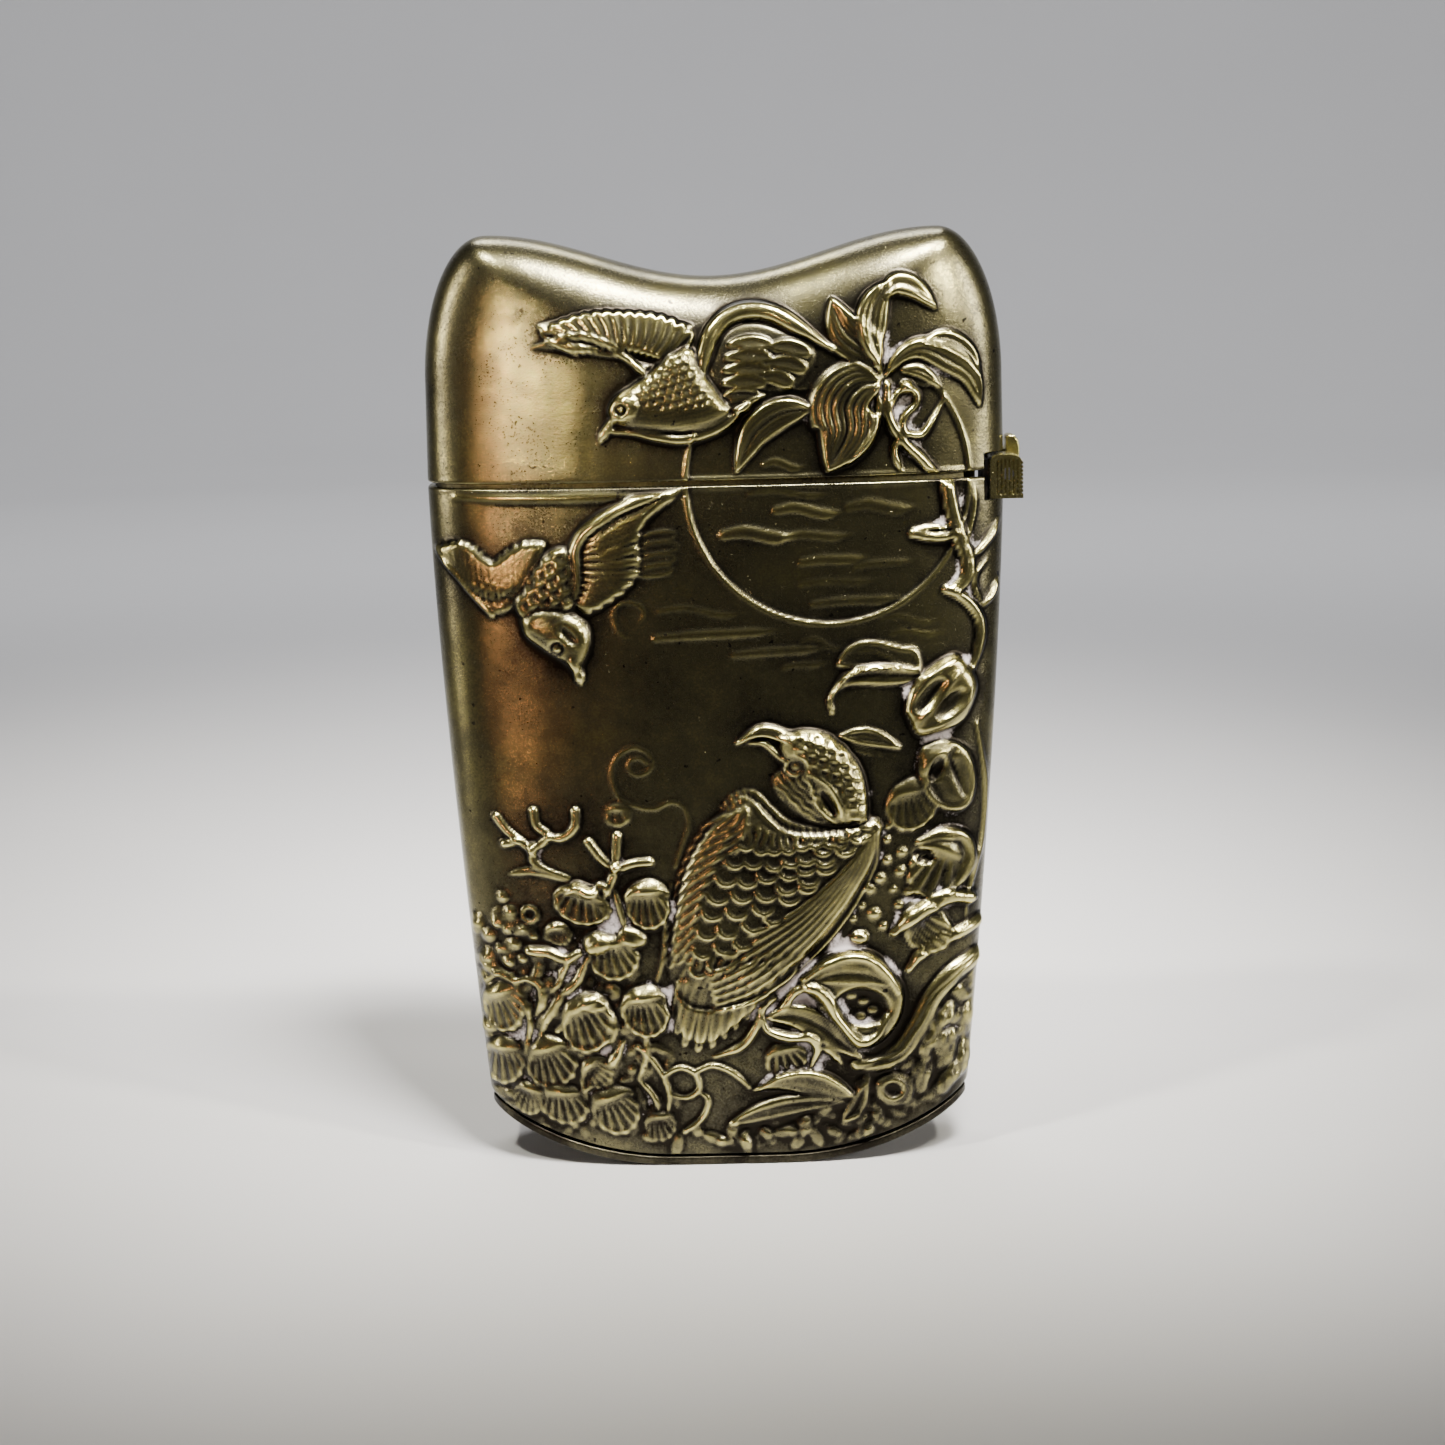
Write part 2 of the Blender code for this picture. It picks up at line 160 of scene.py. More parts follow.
def rounded(share):
    inward = 1 - np.clip(share, 0.0, 1.0)
    return (1 - inward**SECTION_POWER) ** (1 / SECTION_POWER)


def lid_depth(x, z):
    from_side = np.maximum(1e-6, (lid_half_width(z) - np.abs(x)) / lid_half_width(z))
    from_top = np.maximum(1e-6, (lid_top(x) - z) / TOP_ROUNDING)
    nearness = (from_side**-BLEND_POWER + from_top**-BLEND_POWER) ** (-1 / BLEND_POWER)
    return HALF_DEPTH * rounded(nearness)


def crest_point(angle):
    """The lid's outline above its straight sides, for an angle from pi on the left to 0 on the right."""
    turn = np.minimum(angle, math.pi - angle) / SHOULDER_ANGLE * math.pi / 2
    shoulder_x = CREST_HALF_SPAN + (LID_HALF_WIDTH - CREST_HALF_SPAN) * np.cos(turn)
    shoulder_z = SHOULDER_FOOT + (TOP - SHOULDER_FOOT) * np.sin(turn)
    dip_x = CREST_HALF_SPAN * (math.pi / 2 - angle) / (math.pi / 2 - SHOULDER_ANGLE)
    on_shoulder = turn < math.pi / 2
    x = np.where(on_shoulder, np.sign(np.cos(angle)) * shoulder_x, dip_x)
    return x, np.where(on_shoulder, shoulder_z, lid_top(dip_x))


# ---------------------------------------------------------------- relief drawn on an even grid


def smooth_path(points, steps=10):
    """A Catmull-Rom curve through the points."""
    points = np.array(points, float)
    if len(points) < 3:
        share = np.linspace(0.0, 1.0, steps + 1)[:, None]
        return points[0] + (points[-1] - points[0]) * share
    padded = np.vstack([2 * points[0] - points[1], points, 2 * points[-1] - points[-2]])
    share = np.linspace(0.0, 1.0, steps, endpoint=False)[:, None]
    pieces = []
    for a, b, c, d in zip(padded, padded[1:], padded[2:], padded[3:]):
        pieces.append(
            0.5 * (2 * b + (c - a) * share + (2 * a - 5 * b + 4 * c - d) * share**2)
            + 0.5 * (3 * b - a - 3 * c + d) * share**3
        )
    return np.vstack(pieces + [points[-1:]])


def between(first, second, share, count):
    """A path part of the way from one path to another."""
    return resample(first, count) * (1 - share) + resample(second, count) * share


def resample(points, count):
    """That many points, evenly spaced along the smooth curve."""
    path = smooth_path(points)
    run = np.concatenate([[0.0], np.cumsum(np.linalg.norm(np.diff(path, axis=0), axis=1))])
    wanted = np.linspace(0.0, run[-1], count)
    return np.stack([np.interp(wanted, run, path[:, 0]), np.interp(wanted, run, path[:, 1])], axis=1)


def ease(share):
    share = np.clip(share, 0.0, 1.0)
    return share * share * (3 - 2 * share)


def hump(value, centre, width):
    """A smooth rise to 1 where the value is at its centre."""
    return np.exp(-(((value - centre) / width) ** 2))


def blur(field, radius_mm, pitch):
    """Three box blurs, close to a Gaussian of that radius."""
    reach = max(1, int(round(radius_mm / pitch)))
    for _ in range(3):
        for axis in (0, 1):
            pad = [(0, 0), (0, 0)]
            pad[axis] = (reach + 1, reach)
            total = np.cumsum(np.pad(field, pad, mode="edge"), axis=axis)
            upper = np.take(total, range(2 * reach + 1, total.shape[axis]), axis=axis)
            lower = np.take(total, range(0, total.shape[axis] - 2 * reach - 1), axis=axis)
            field = (upper - lower) / (2 * reach + 1)
    return field


class Relief:
    """Heights in mm over one face of the case, on an even grid in x and z."""

    PITCH = 0.05
    LOW = np.array([-20.0, -0.5])
    HIGH = np.array([20.0, 63.0])

    def __init__(self, seed):
        count = ((self.HIGH - self.LOW) / self.PITCH).astype(int) + 1
        self.x_line = self.LOW[0] + self.PITCH * np.arange(count[0])
        self.z_line = self.LOW[1] + self.PITCH * np.arange(count[1])
        self.height = np.zeros(count)
        self.held = self.height
        self.chalk = np.zeros(count)
        self.random = np.random.default_rng(seed)

    def window(self, points, margin):
        points = np.array(points, float)
        low = np.maximum(0, ((points.min(axis=0) - margin - self.LOW) / self.PITCH).astype(int))
        high = ((points.max(axis=0) + margin - self.LOW) / self.PITCH).astype(int) + 2
        area = (slice(low[0], high[0]), slice(low[1], high[1]))
        x, z = np.meshgrid(self.x_line[area[0]], self.z_line[area[1]], indexing="ij")
        return area, x, z

    def hold(self):
        """Remembers the heights so far, as the form that feathers and scales are laid over."""
        self.held = self.height.copy()

    def lay(self, area, cover, height, under):
        """Adds a form over the ground pressed down to a share of its height, or over the held form."""
        below = self.height[area]
        if under is None:
            self.height[area] = below * (1 - cover) + (self.held[area] + height) * cover
        else:
            self.height[area] = below * (1 - cover * (1 - under)) + height

    @staticmethod
    def follow(path, x, z):
        """For each place: how far along the path it is (0 to 1), and its distance off it, left positive."""
        steps = np.diff(path, axis=0)
        lengths = np.maximum(1e-9, np.linalg.norm(steps, axis=1))
        starts = np.concatenate([[0.0], np.cumsum(lengths)])
        best = np.full(x.shape, 1e9)
        along = np.zeros(x.shape)
        side = np.zeros(x.shape)
        for start, step, length, run in zip(path, steps, lengths, starts):
            dx = x - start[0]
            dz = z - start[1]
            share = np.clip((dx * step[0] + dz * step[1]) / length**2, 0.0, 1.0)
            off_x = dx - share * step[0]
            off_z = dz - share * step[1]
            distance = np.hypot(off_x, off_z)
            nearer = distance < best
            best = np.where(nearer, distance, best)
            along = np.where(nearer, (run + share * length) / starts[-1], along)
            left = np.sign(step[0] * off_z - step[1] * off_x)
            side = np.where(nearer, distance * np.where(left == 0, 1, left), side)
        return along, side

    @staticmethod
    def inside(outline, x, z):
        """1 within a closed outline and 0 outside, with the distance to the outline."""
        crossings = np.zeros(x.shape, bool)
        distance = np.full(x.shape, 1e9)
        for (ax, az), (bx, bz) in zip(outline, np.roll(outline, -1, axis=0)):
            if az != bz:
                spans = (az > z) != (bz > z)
                crossings ^= spans & (x < ax + (bx - ax) * (z - az) / (bz - az))
            length = max(1e-9, (bx - ax) ** 2 + (bz - az) ** 2)
            share = np.clip(((x - ax) * (bx - ax) + (z - az) * (bz - az)) / length, 0.0, 1.0)
            gap = np.hypot(x - ax - share * (bx - ax), z - az - share * (bz - az))
            distance = np.minimum(distance, gap)
        return crossings, distance

    def within(self, outline, margin):
        """The window round a smoothed outline, which places lie inside, and how far they are from it."""
        outline = smooth_path(list(outline) + [outline[0]], 6)[:-1]
        area, x, z = self.window(outline, margin)
        inside, distance = self.inside(outline, x, z)
        return area, x, z, inside, distance

    @staticmethod
    def turned(centre, radii, angle, x, z):
        """Places in the axes of a form that is turned by an angle in degrees, as shares of its radii."""
        cos = math.cos(math.radians(angle))
        sin = math.sin(math.radians(angle))
        u = ((x - centre[0]) * cos + (z - centre[1]) * sin) / radii[0]
        v = (-(x - centre[0]) * sin + (z - centre[1]) * cos) / radii[1]
        return u, v

    def ridge(self, points, width, height, ends=(0.5, 0.3), under=0.35, flat=2.0, edges=0.0):
        """A raised cord or stem, each end narrowed to a share of its width, its edges raised if asked."""
        area, x, z = self.window(points, width)
        along, side = self.follow(smooth_path(points), x, z)
        first = ends[0] + (1 - ends[0]) * ease(along / 0.3)
        narrow = first * (ends[1] + (1 - ends[1]) * ease((1 - along) / 0.3))
        share = np.clip(np.abs(side) / (width / 2 * narrow), 0.0, 1.0)
        rise = (1 - share**flat) ** 0.5
        form = height * rise * (0.35 + 0.65 * narrow)
        form += edges * hump(share, 0.72, 0.2) * ease(rise * 2) * narrow
        self.lay(area, ease(rise * 1.6), form, under)

    def groove(self, points, width, depth, fade=0.15):
        area, x, z = self.window(points, width * 2)
        along, side = self.follow(smooth_path(points), x, z)
        ends = ease(along / fade) * ease((1 - along) / fade)
        self.height[area] -= depth * ends * hump(side, 0.0, width / 2)

    def blade(self, points, width, height, ribs, belly=0.45, lean=0.0, rib=0.07, midrib=0.10,
              dish=0.25, rim=0.05, under=0.2, point=0.8):
        """A leaf or feather along a spine, widest at belly, leaning aside, ribbed, with a raised edge."""
        area, x, z = self.window(points, width)
        along, side = self.follow(smooth_path(points), x, z)
        turn = along ** (math.log(0.5) / math.log(belly))
        half = width / 2 * np.maximum(1e-3, np.sin(math.pi * np.clip(turn, 0.0, 1.0))) ** point
        share = np.clip(side / half, -1.5, 1.5)
        inside = np.clip(1 - np.abs(share) ** 4, 0.0, 1.0) ** 0.6
        slope = 1 + lean * np.clip(share, -1, 1)
        form = height * inside * slope * (1 - dish * (1 - np.minimum(1, share**2)))
        form += rim * hump(np.abs(share), 0.80, 0.16) * inside
        waves = 0.5 - 0.5 * np.cos(2 * math.pi * ribs * share + 2.0 * along)
        form -= rib * waves * ease(inside * 1.3) * ease(along / 0.1)
        form -= midrib * hump(side, 0.0, 0.10) * ease(inside) * ease((1 - along) / 0.2)
        self.lay(area, ease(inside * 2.2), form, under)

    def dome(self, centre, radii, height, angle=0.0, under=0.25, seam=0.0):
        """A rounded bud or berry, with a crease along its length where seam is given."""
        area, x, z = self.window([centre], max(radii) * 1.1)
        u, v = self.turned(centre, radii, angle, x, z)
        rise = np.clip(1 - np.hypot(u, v) ** 2.2, 0.0, 1.0) ** 0.5
        form = height * rise
        form -= seam * hump(v * radii[1], 0.0, 0.13) * ease(rise)
        self.lay(area, ease(rise * 2), form, under)

    def flower(self, centre, radius, petals, height, turn, rays, core=0.32):
        """A round flower of lobed petals about a button, cupped towards the middle."""
        area, x, z = self.window([centre], radius * 1.1)
        dx = x - centre[0]
        dz = z - centre[1]
        away = np.hypot(dx, dz) / radius
        angle = np.arctan2(dz, dx) + math.radians(turn)
        lobe = np.abs(np.cos(angle * petals / 2))
        edge = 1 - 0.28 * (1 - lobe) ** 1.5
        share = away / edge
        body = np.clip(1 - share**3.2, 0.0, 1.0) ** 0.5
        form = height * body * (0.55 + 0.45 * ease(share / 0.7))
        form -= height * 0.30 * (1 - lobe) ** 3 * ease(body) * ease(away / 0.3)
        form -= rays * (0.5 - 0.5 * np.cos(angle * petals * 3)) * ease(body) * ease((away - core) / 0.2)
        button = np.clip(1 - (away / core) ** 2, 0.0, 1.0) ** 0.5
        form += height * 0.45 * button - height * 0.25 * hump(away, core * 1.15, 0.1) * ease(body)
        self.lay(area, ease(body * 2.2), form, 0.2)

    def ring(self, centre, radius, width, height):
        area, x, z = self.window([centre], radius + width)
        away = np.hypot(x - centre[0], z - centre[1])
        rise = np.clip(1 - ((away - radius) / (width / 2)) ** 2, 0.0, 1.0) ** 0.5
        self.lay(area, ease(rise * 1.5), height * rise, 0.4)

    def pad(self, outline, height, edge, under=0.15, lift=None, rim=0.0, dish=0.0):
        """A pillow inside an outline, rounded over a margin, with a raised rim or a dished middle."""
        area, x, z, inside, distance = self.within(outline, 0.2)
        share = np.where(inside, np.clip(distance / edge, 0.0, 1.0), 0.0)
        rise = (1 - (1 - share) ** 2.3) ** 0.55
        form = height * rise * (1 - dish * share)
        if lift is not None:
            form = form * lift(x, z)
        form += rim * hump(distance, 0.16, 0.09) * inside
        self.lay(area, ease(rise * 2.5), form, under)

    def tiles(self, outline, origin, towards, size, height, edge):
        """Overlapping scales inside an outline, their tips pointing along towards."""
        area, x, z, inside, distance = self.within(outline, 0.1)
        length = math.hypot(*towards)
        ax, az = towards[0] / length, towards[1] / length
        down = ((x - origin[0]) * ax + (z - origin[1]) * az) / size
        across = (-(x - origin[0]) * az + (z - origin[1]) * ax) / (size * 1.15)
        top = np.zeros(x.shape)
        for back in (0, 1):
            row = np.floor(down) - back
            place = across + 0.5 * np.mod(row, 2)
            offset = np.abs(place - np.floor(place) - 0.5) * 2
            tip = 0.75 + 0.9 * np.sqrt(np.clip(1 - offset**2, 0.0, 1.0))
            run = (down - row) / tip
            form = np.where(run <= 1, 0.25 + 0.75 * run**1.5, 0.0)
            top = np.where(form > 0, form, top)
        fade = np.where(inside, ease(distance / edge), 0.0)
        self.height[area] += height * (top - 0.6) * fade

    def hatch(self, outline, guide, spacing, depth, edge=0.4):
        """Fine strokes that run alongside a guide path, inside an outline."""
        area, x, z, inside, distance = self.within(outline, 0.1)
        along, side = self.follow(smooth_path(guide), x, z)
        wander = 0.25 * np.sin(along * 23.0 + side * 1.7) + 0.25 * np.sin(along * 11.0 - side * 2.9)
        waves = 0.5 - 0.5 * np.cos(2 * math.pi * side / spacing + wander * 3)
        fade = np.where(inside, ease(distance / edge), 0.0)
        self.height[area] -= depth * waves**2 * fade

    def plume(self, base, tip, width, height, rim):
        """One short feather with a round end: a hollow tongue that lifts to a thin lip."""
        base = np.array(base, float)
        tip = np.array(tip, float)
        line = tip - base
        length = np.hypot(*line)
        area, x, z = self.window([base, tip], width)
        ux, uz = line / length
        along = (x - base[0]) * ux + (z - base[1]) * uz
        side = -(x - base[0]) * uz + (z - base[1]) * ux
        half = width / 2
        share = np.hypot(side, np.clip(along - (length - half), 0.0, None)) / half
        run = np.clip(along / length, 0.0, 1.0)
        inside = (share < 1) & (along > 0)
        cover = np.where(inside, ease((1 - share) / 0.16) * ease(along / (0.3 * length)), 0.0)
        form = height * (0.15 + 0.85 * run**1.5)
        near_tip = ease((along - length + 1.15 * half) / (0.8 * half))
        form += rim * hump(share, 0.80, 0.15) * near_tip
        form -= 0.03 * (0.5 - 0.5 * np.cos(2 * math.pi * side / 0.24)) * ease((0.75 - share) / 0.3)
        self.lay(area, cover, form, None)

    def shell(self, centre, radii, height, angle, ribs, rib, crown):
        """A curled round leaf: a smooth brow, and a finely pleated fan with a raised edge below it."""
        area, x, z = self.window([centre], max(radii) * 1.15)
        u, v = self.turned(centre, radii, angle, x, z)
        turn = (np.arctan2(v + 0.45, u + 1.3) - 0.25) / 0.85
        pleats = 0.5 - 0.5 * np.cos(turn * math.pi * ribs + 0.9 * np.sin(3.1 * turn + centre[0]))
        fan = ease((u + 0.42 + 0.25 * v) / 0.25)
        edge = 1 - 0.035 * pleats * fan + 0.04 * np.sin(2.3 * turn + centre[1])
        edge += 0.085 * np.sin(4.1 * turn + 2.3 * centre[0]) * fan
        away = np.hypot(u, v) / edge
        body = np.clip(1 - away**4, 0.0, 1.0) ** 0.5
        brow = np.exp(-(((u + 0.55) / 0.30) ** 2) - ((v + 0.15) / 0.62) ** 2)
        form = body * height * (0.66 + crown * brow - 0.22 * fan * (1 - away**2) + 0.16 * v * fan)
        form -= rib * pleats**0.8 * fan * ease(body * 1.2)
        crease = hump(u + 0.25 * v, -0.38, 0.10) * ease(body * 1.5) * ease((0.8 - np.abs(v)) / 0.3)
        lip = hump(away, 0.88, 0.08) * ease((u + 0.3) / 0.5) * ease(body * 2)
        form += height * (0.20 * lip - 0.22 * crease)
        self.lay(area, ease(body * 2.2), form, 0.15)

    def litter(self, outline, count, size, height):
        """Small irregular bumps that fill the ground between larger forms."""
        outline = np.array(outline, float)
        low, high = outline.min(axis=0), outline.max(axis=0)
        for _ in range(count):
            x, z, turn, stretch, grow = self.random.uniform(0, 1, 5)
            place = low + (high - low) * (x, z)
            inside, _ = self.inside(outline, place[:1], place[1:])
            radius = size * (0.6 + 0.8 * grow)
            if inside[0]:
                radii = (radius * (1 + 1.6 * stretch), radius)
                self.dome(place, radii, height * (0.4 + grow), angle=360 * turn, under=0.9)

    def fan(self, roots, tips, width, height, bend, rim, point=0.42):
        """Long feathers side by side, each from its place on the root line to its place on the tip line."""
        for root, tip in zip(roots, tips):
            line = np.array(tip) - np.array(root)
            middle = (np.array(root) + np.array(tip)) / 2 + bend * np.array([-line[1], line[0]])
            self.blade([root, middle, tip], width, height, belly=0.62, ribs=0, rib=0.03, midrib=0.05,
                       rim=rim, dish=0.2, under=None, point=point)

    def roughen(self, ground, raised, foot):
        """A hammered unevenness: slight on the ground, stronger on raised forms and towards the foot."""
        near_foot = ease((17.0 - self.z_line) / 9.0)[None, :]
        for size, share in ((0.14, 0.22), (0.40, 0.35), (0.90, 0.30)):
            noise = self.random.normal(0.0, 1.0, self.height.shape)
            bumps = blur(noise, size, self.PITCH) * share * size / self.PITCH
            strength = ground + (raised - ground) * ease(self.height / 0.30) + foot * near_foot
            self.height += bumps * strength

    def dust(self, places):
        """Marks places, as x, z, radius and amount, where dried polish has stayed in the hollows."""
        for x_centre, z_centre, radius, amount in places:
            area, x, z = self.window([(x_centre, z_centre)], radius * 1.7)
            away = np.hypot(x - x_centre, z - z_centre) / radius
            self.chalk[area] = np.maximum(self.chalk[area], amount * np.exp(-(away**4)))


# ---------------------------------------------------------------- motifs on the front


def draw_moon(relief):
    """A sunken disc across the seam with a thin raised rim."""
    centre = np.array([7.3, 45.9])
    radius = 9.2
    turns = np.radians(np.arange(150, 398, 6))
    rim = [centre + radius * np.array([math.cos(turn), math.sin(turn)]) for turn in turns]
    area, x, z = relief.window(rim, 0.5)
    inner = radius - np.hypot(x - centre[0], z - centre[1])
    relief.height[area] -= 0.13 * ease(inner / 0.22)
    relief.ridge(rim, 0.27, 0.15, ends=(0.8, 0.7), under=1.0)


def draw_clouds(relief):
    """Flat drawn-out bars, blunt on the left and fading to the right."""
    bars = [
        ((3.9, 44.15), (8.3, 44.0), 0.85, 0.15),
        ((8.6, 44.25), (13.0, 44.15), 0.95, 0.09),
        ((2.2, 45.3), (7.6, 45.2), 0.55, 0.09),
        ((0.5, 42.65), (5.2, 42.55), 1.05, 0.17),
        ((4.4, 42.4), (8.9, 42.5), 0.7, 0.10),
        ((5.5, 40.75), (9.9, 41.0), 0.75, 0.10),
        ((9.0, 40.4), (12.9, 40.7), 0.6, 0.07),
        ((6.2, 38.0), (12.4, 38.3), 0.75, 0.10),
        ((5.4, 39.3), (10.6, 39.5), 0.6, 0.05),
        ((-4.1, 36.0), (4.5, 36.4), 0.75, 0.13),
        ((-3.8, 37.8), (1.9, 37.6), 0.5, 0.09),
        ((1.0, 34.8), (7.4, 35.2), 0.75, 0.12),
        ((4.2, 33.9), (7.2, 34.2), 0.5, 0.09),
        ((5.4, 35.6), (8.4, 35.2), 0.35, 0.08),
        ((10.6, 36.9), (14.6, 36.7), 0.45, 0.06),
        ((11.2, 35.9), (14.9, 35.9), 0.45, 0.06),
        ((3.2, 47.15), (5.9, 47.0), 0.6, 0.09),
    ]
    for (x1, z1), (x2, z2), width, height in bars:
        path = [(x1, z1), (x1 + 0.3 * (x2 - x1), z1 + 0.16), (x1 + 0.7 * (x2 - x1), z2 - 0.14), (x2, z2)]
        relief.ridge(path, 0.85 * width, 0.8 * height, ends=(0.8, 0.12), under=0.9, flat=5.0)


def draw_lid_bird(relief):
    """A small bird flying down to the left, both wings spread."""
    # far wing: feathers fanned above a smooth curved leading edge
    arch = [(-11.5, 54.9), (-9.9, 55.4), (-8.2, 55.5), (-6.7, 55.0), (-5.4, 54.1), (-4.4, 53.1)]
    top = [
        (-10.9, 55.9), (-9.4, 56.7), (-7.6, 57.1), (-5.6, 57.1), (-3.6, 56.9), (-2.1, 56.4),
        (-1.2, 55.7),
    ]
    relief.pad(arch + top[::-1] + [(-2.4, 53.6)], 0.24, 0.5, under=0.6)
    relief.hold()
    roots = between(arch, [(-4.8, 53.6), (-3.2, 53.6), (-1.9, 54.2)], 0.45, 15)
    relief.fan(roots[::-1], resample(top, 15)[::-1], 0.88, 0.30, bend=-0.05, rim=0.16)
    relief.ridge(arch, 0.55, 0.34, ends=(0.2, 0.9), under=0.8)
    # near wing: rounded flight feathers under a thick arched leading edge
    near = [
        (-0.9, 52.2), (-0.6, 53.9), (0.0, 55.5), (1.0, 56.5), (2.4, 56.9), (3.9, 56.7), (5.4, 55.9),
        (7.7, 54.4),
    ]
    relief.pad(
        [
            (0.2, 51.0), (-0.3, 53.4), (0.6, 55.6), (3.0, 56.2), (6.4, 54.6), (5.9, 52.6), (3.3, 50.9),
            (1.6, 50.4),
        ],
        0.14, 0.6, under=0.7,
    )
    relief.hold()
    for left, z, length in [(3.6, 54.6, 2.7), (3.5, 53.6, 2.5), (3.1, 52.7, 2.0)]:
        relief.blade(
            [(left, z), (left + length * 0.5, z), (left + length, z - 0.45)], 1.05, 0.30, belly=0.6,
            ribs=1, rib=0.03, midrib=0.0, rim=0.10, dish=0.5, point=0.32, under=None,
        )
    for left, z, length in [
        (0.7, 50.9, 1.7), (0.6, 51.6, 2.4), (0.6, 52.4, 2.8), (0.7, 53.2, 3.0), (0.8, 54.0, 3.0),
        (1.0, 54.8, 2.8),
    ]:
        relief.blade(
            [(left, z), (left + length * 0.5, z + 0.12), (left + length, z - 0.05)], 0.92, 0.34,
            belly=0.62, ribs=1, rib=0.03, midrib=0.0, rim=0.09, dish=0.45, point=0.32, under=None,
        )
    relief.ridge(near, 1.15, 0.62, ends=(0.7, 0.3), under=0.5)
    relief.groove([(0.0, 53.4), (0.5, 55.0), (1.6, 56.1), (3.2, 56.2), (5.0, 55.4)], 0.2, 0.12)
    # body with its belly fold, head and bill
    body = [
        (-2.8, 54.5), (-1.3, 54.7), (-0.6, 53.3), (0.3, 51.9), (1.1, 50.5), (-0.8, 49.4), (-3.4, 49.3),
        (-5.4, 49.6), (-6.4, 50.0), (-6.8, 50.8), (-6.2, 51.8), (-5.1, 52.5), (-3.8, 53.5),
    ]
    relief.pad(body, 0.80, 1.4, under=0.1)
    relief.tiles(
        [
            (-2.6, 54.3), (-1.4, 54.4), (-0.6, 52.8), (0.2, 51.2), (-2.6, 50.6), (-5.0, 51.4),
            (-4.4, 52.9),
        ],
        (-1.5, 54.5), (-0.75, -0.75), 0.50, 0.30, edge=0.35,
    )
    relief.ridge(
        [
            (-6.5, 49.5), (-5.1, 49.4), (-3.6, 49.1), (-2.1, 48.9), (-0.6, 49.2), (0.7, 49.8),
            (1.9, 50.8), (3.2, 51.6),
        ],
        0.75, 0.42, ends=(0.5, 0.3), under=0.8,
    )
    relief.hatch(
        [(-6.2, 50.6), (-2.0, 50.9), (2.4, 51.6), (2.6, 50.8), (-1.6, 49.2), (-6.2, 49.3)],
        [(-6.3, 50.0), (-2.1, 50.0), (2.8, 51.4)], 0.26, 0.10,
    )
    relief.dome((-5.6, 51.0), (1.15, 0.95), 0.62, angle=35, under=0.6)
    relief.tiles(
        [(-6.7, 51.6), (-5.6, 52.2), (-4.5, 51.5), (-4.9, 50.3), (-6.3, 50.2)], (-4.6, 51.6),
        (-1, -0.4), 0.36, 0.20, edge=0.25,
    )
    relief.ridge([(-6.1, 50.6), (-6.7, 49.8), (-7.4, 48.7)], 0.62, 0.42, ends=(0.9, 0.12), under=0.5)
    relief.groove([(-6.3, 50.1), (-6.8, 49.4), (-7.2, 48.9)], 0.12, 0.14)
    relief.ring((-5.9, 50.9), 0.28, 0.16, 0.10)


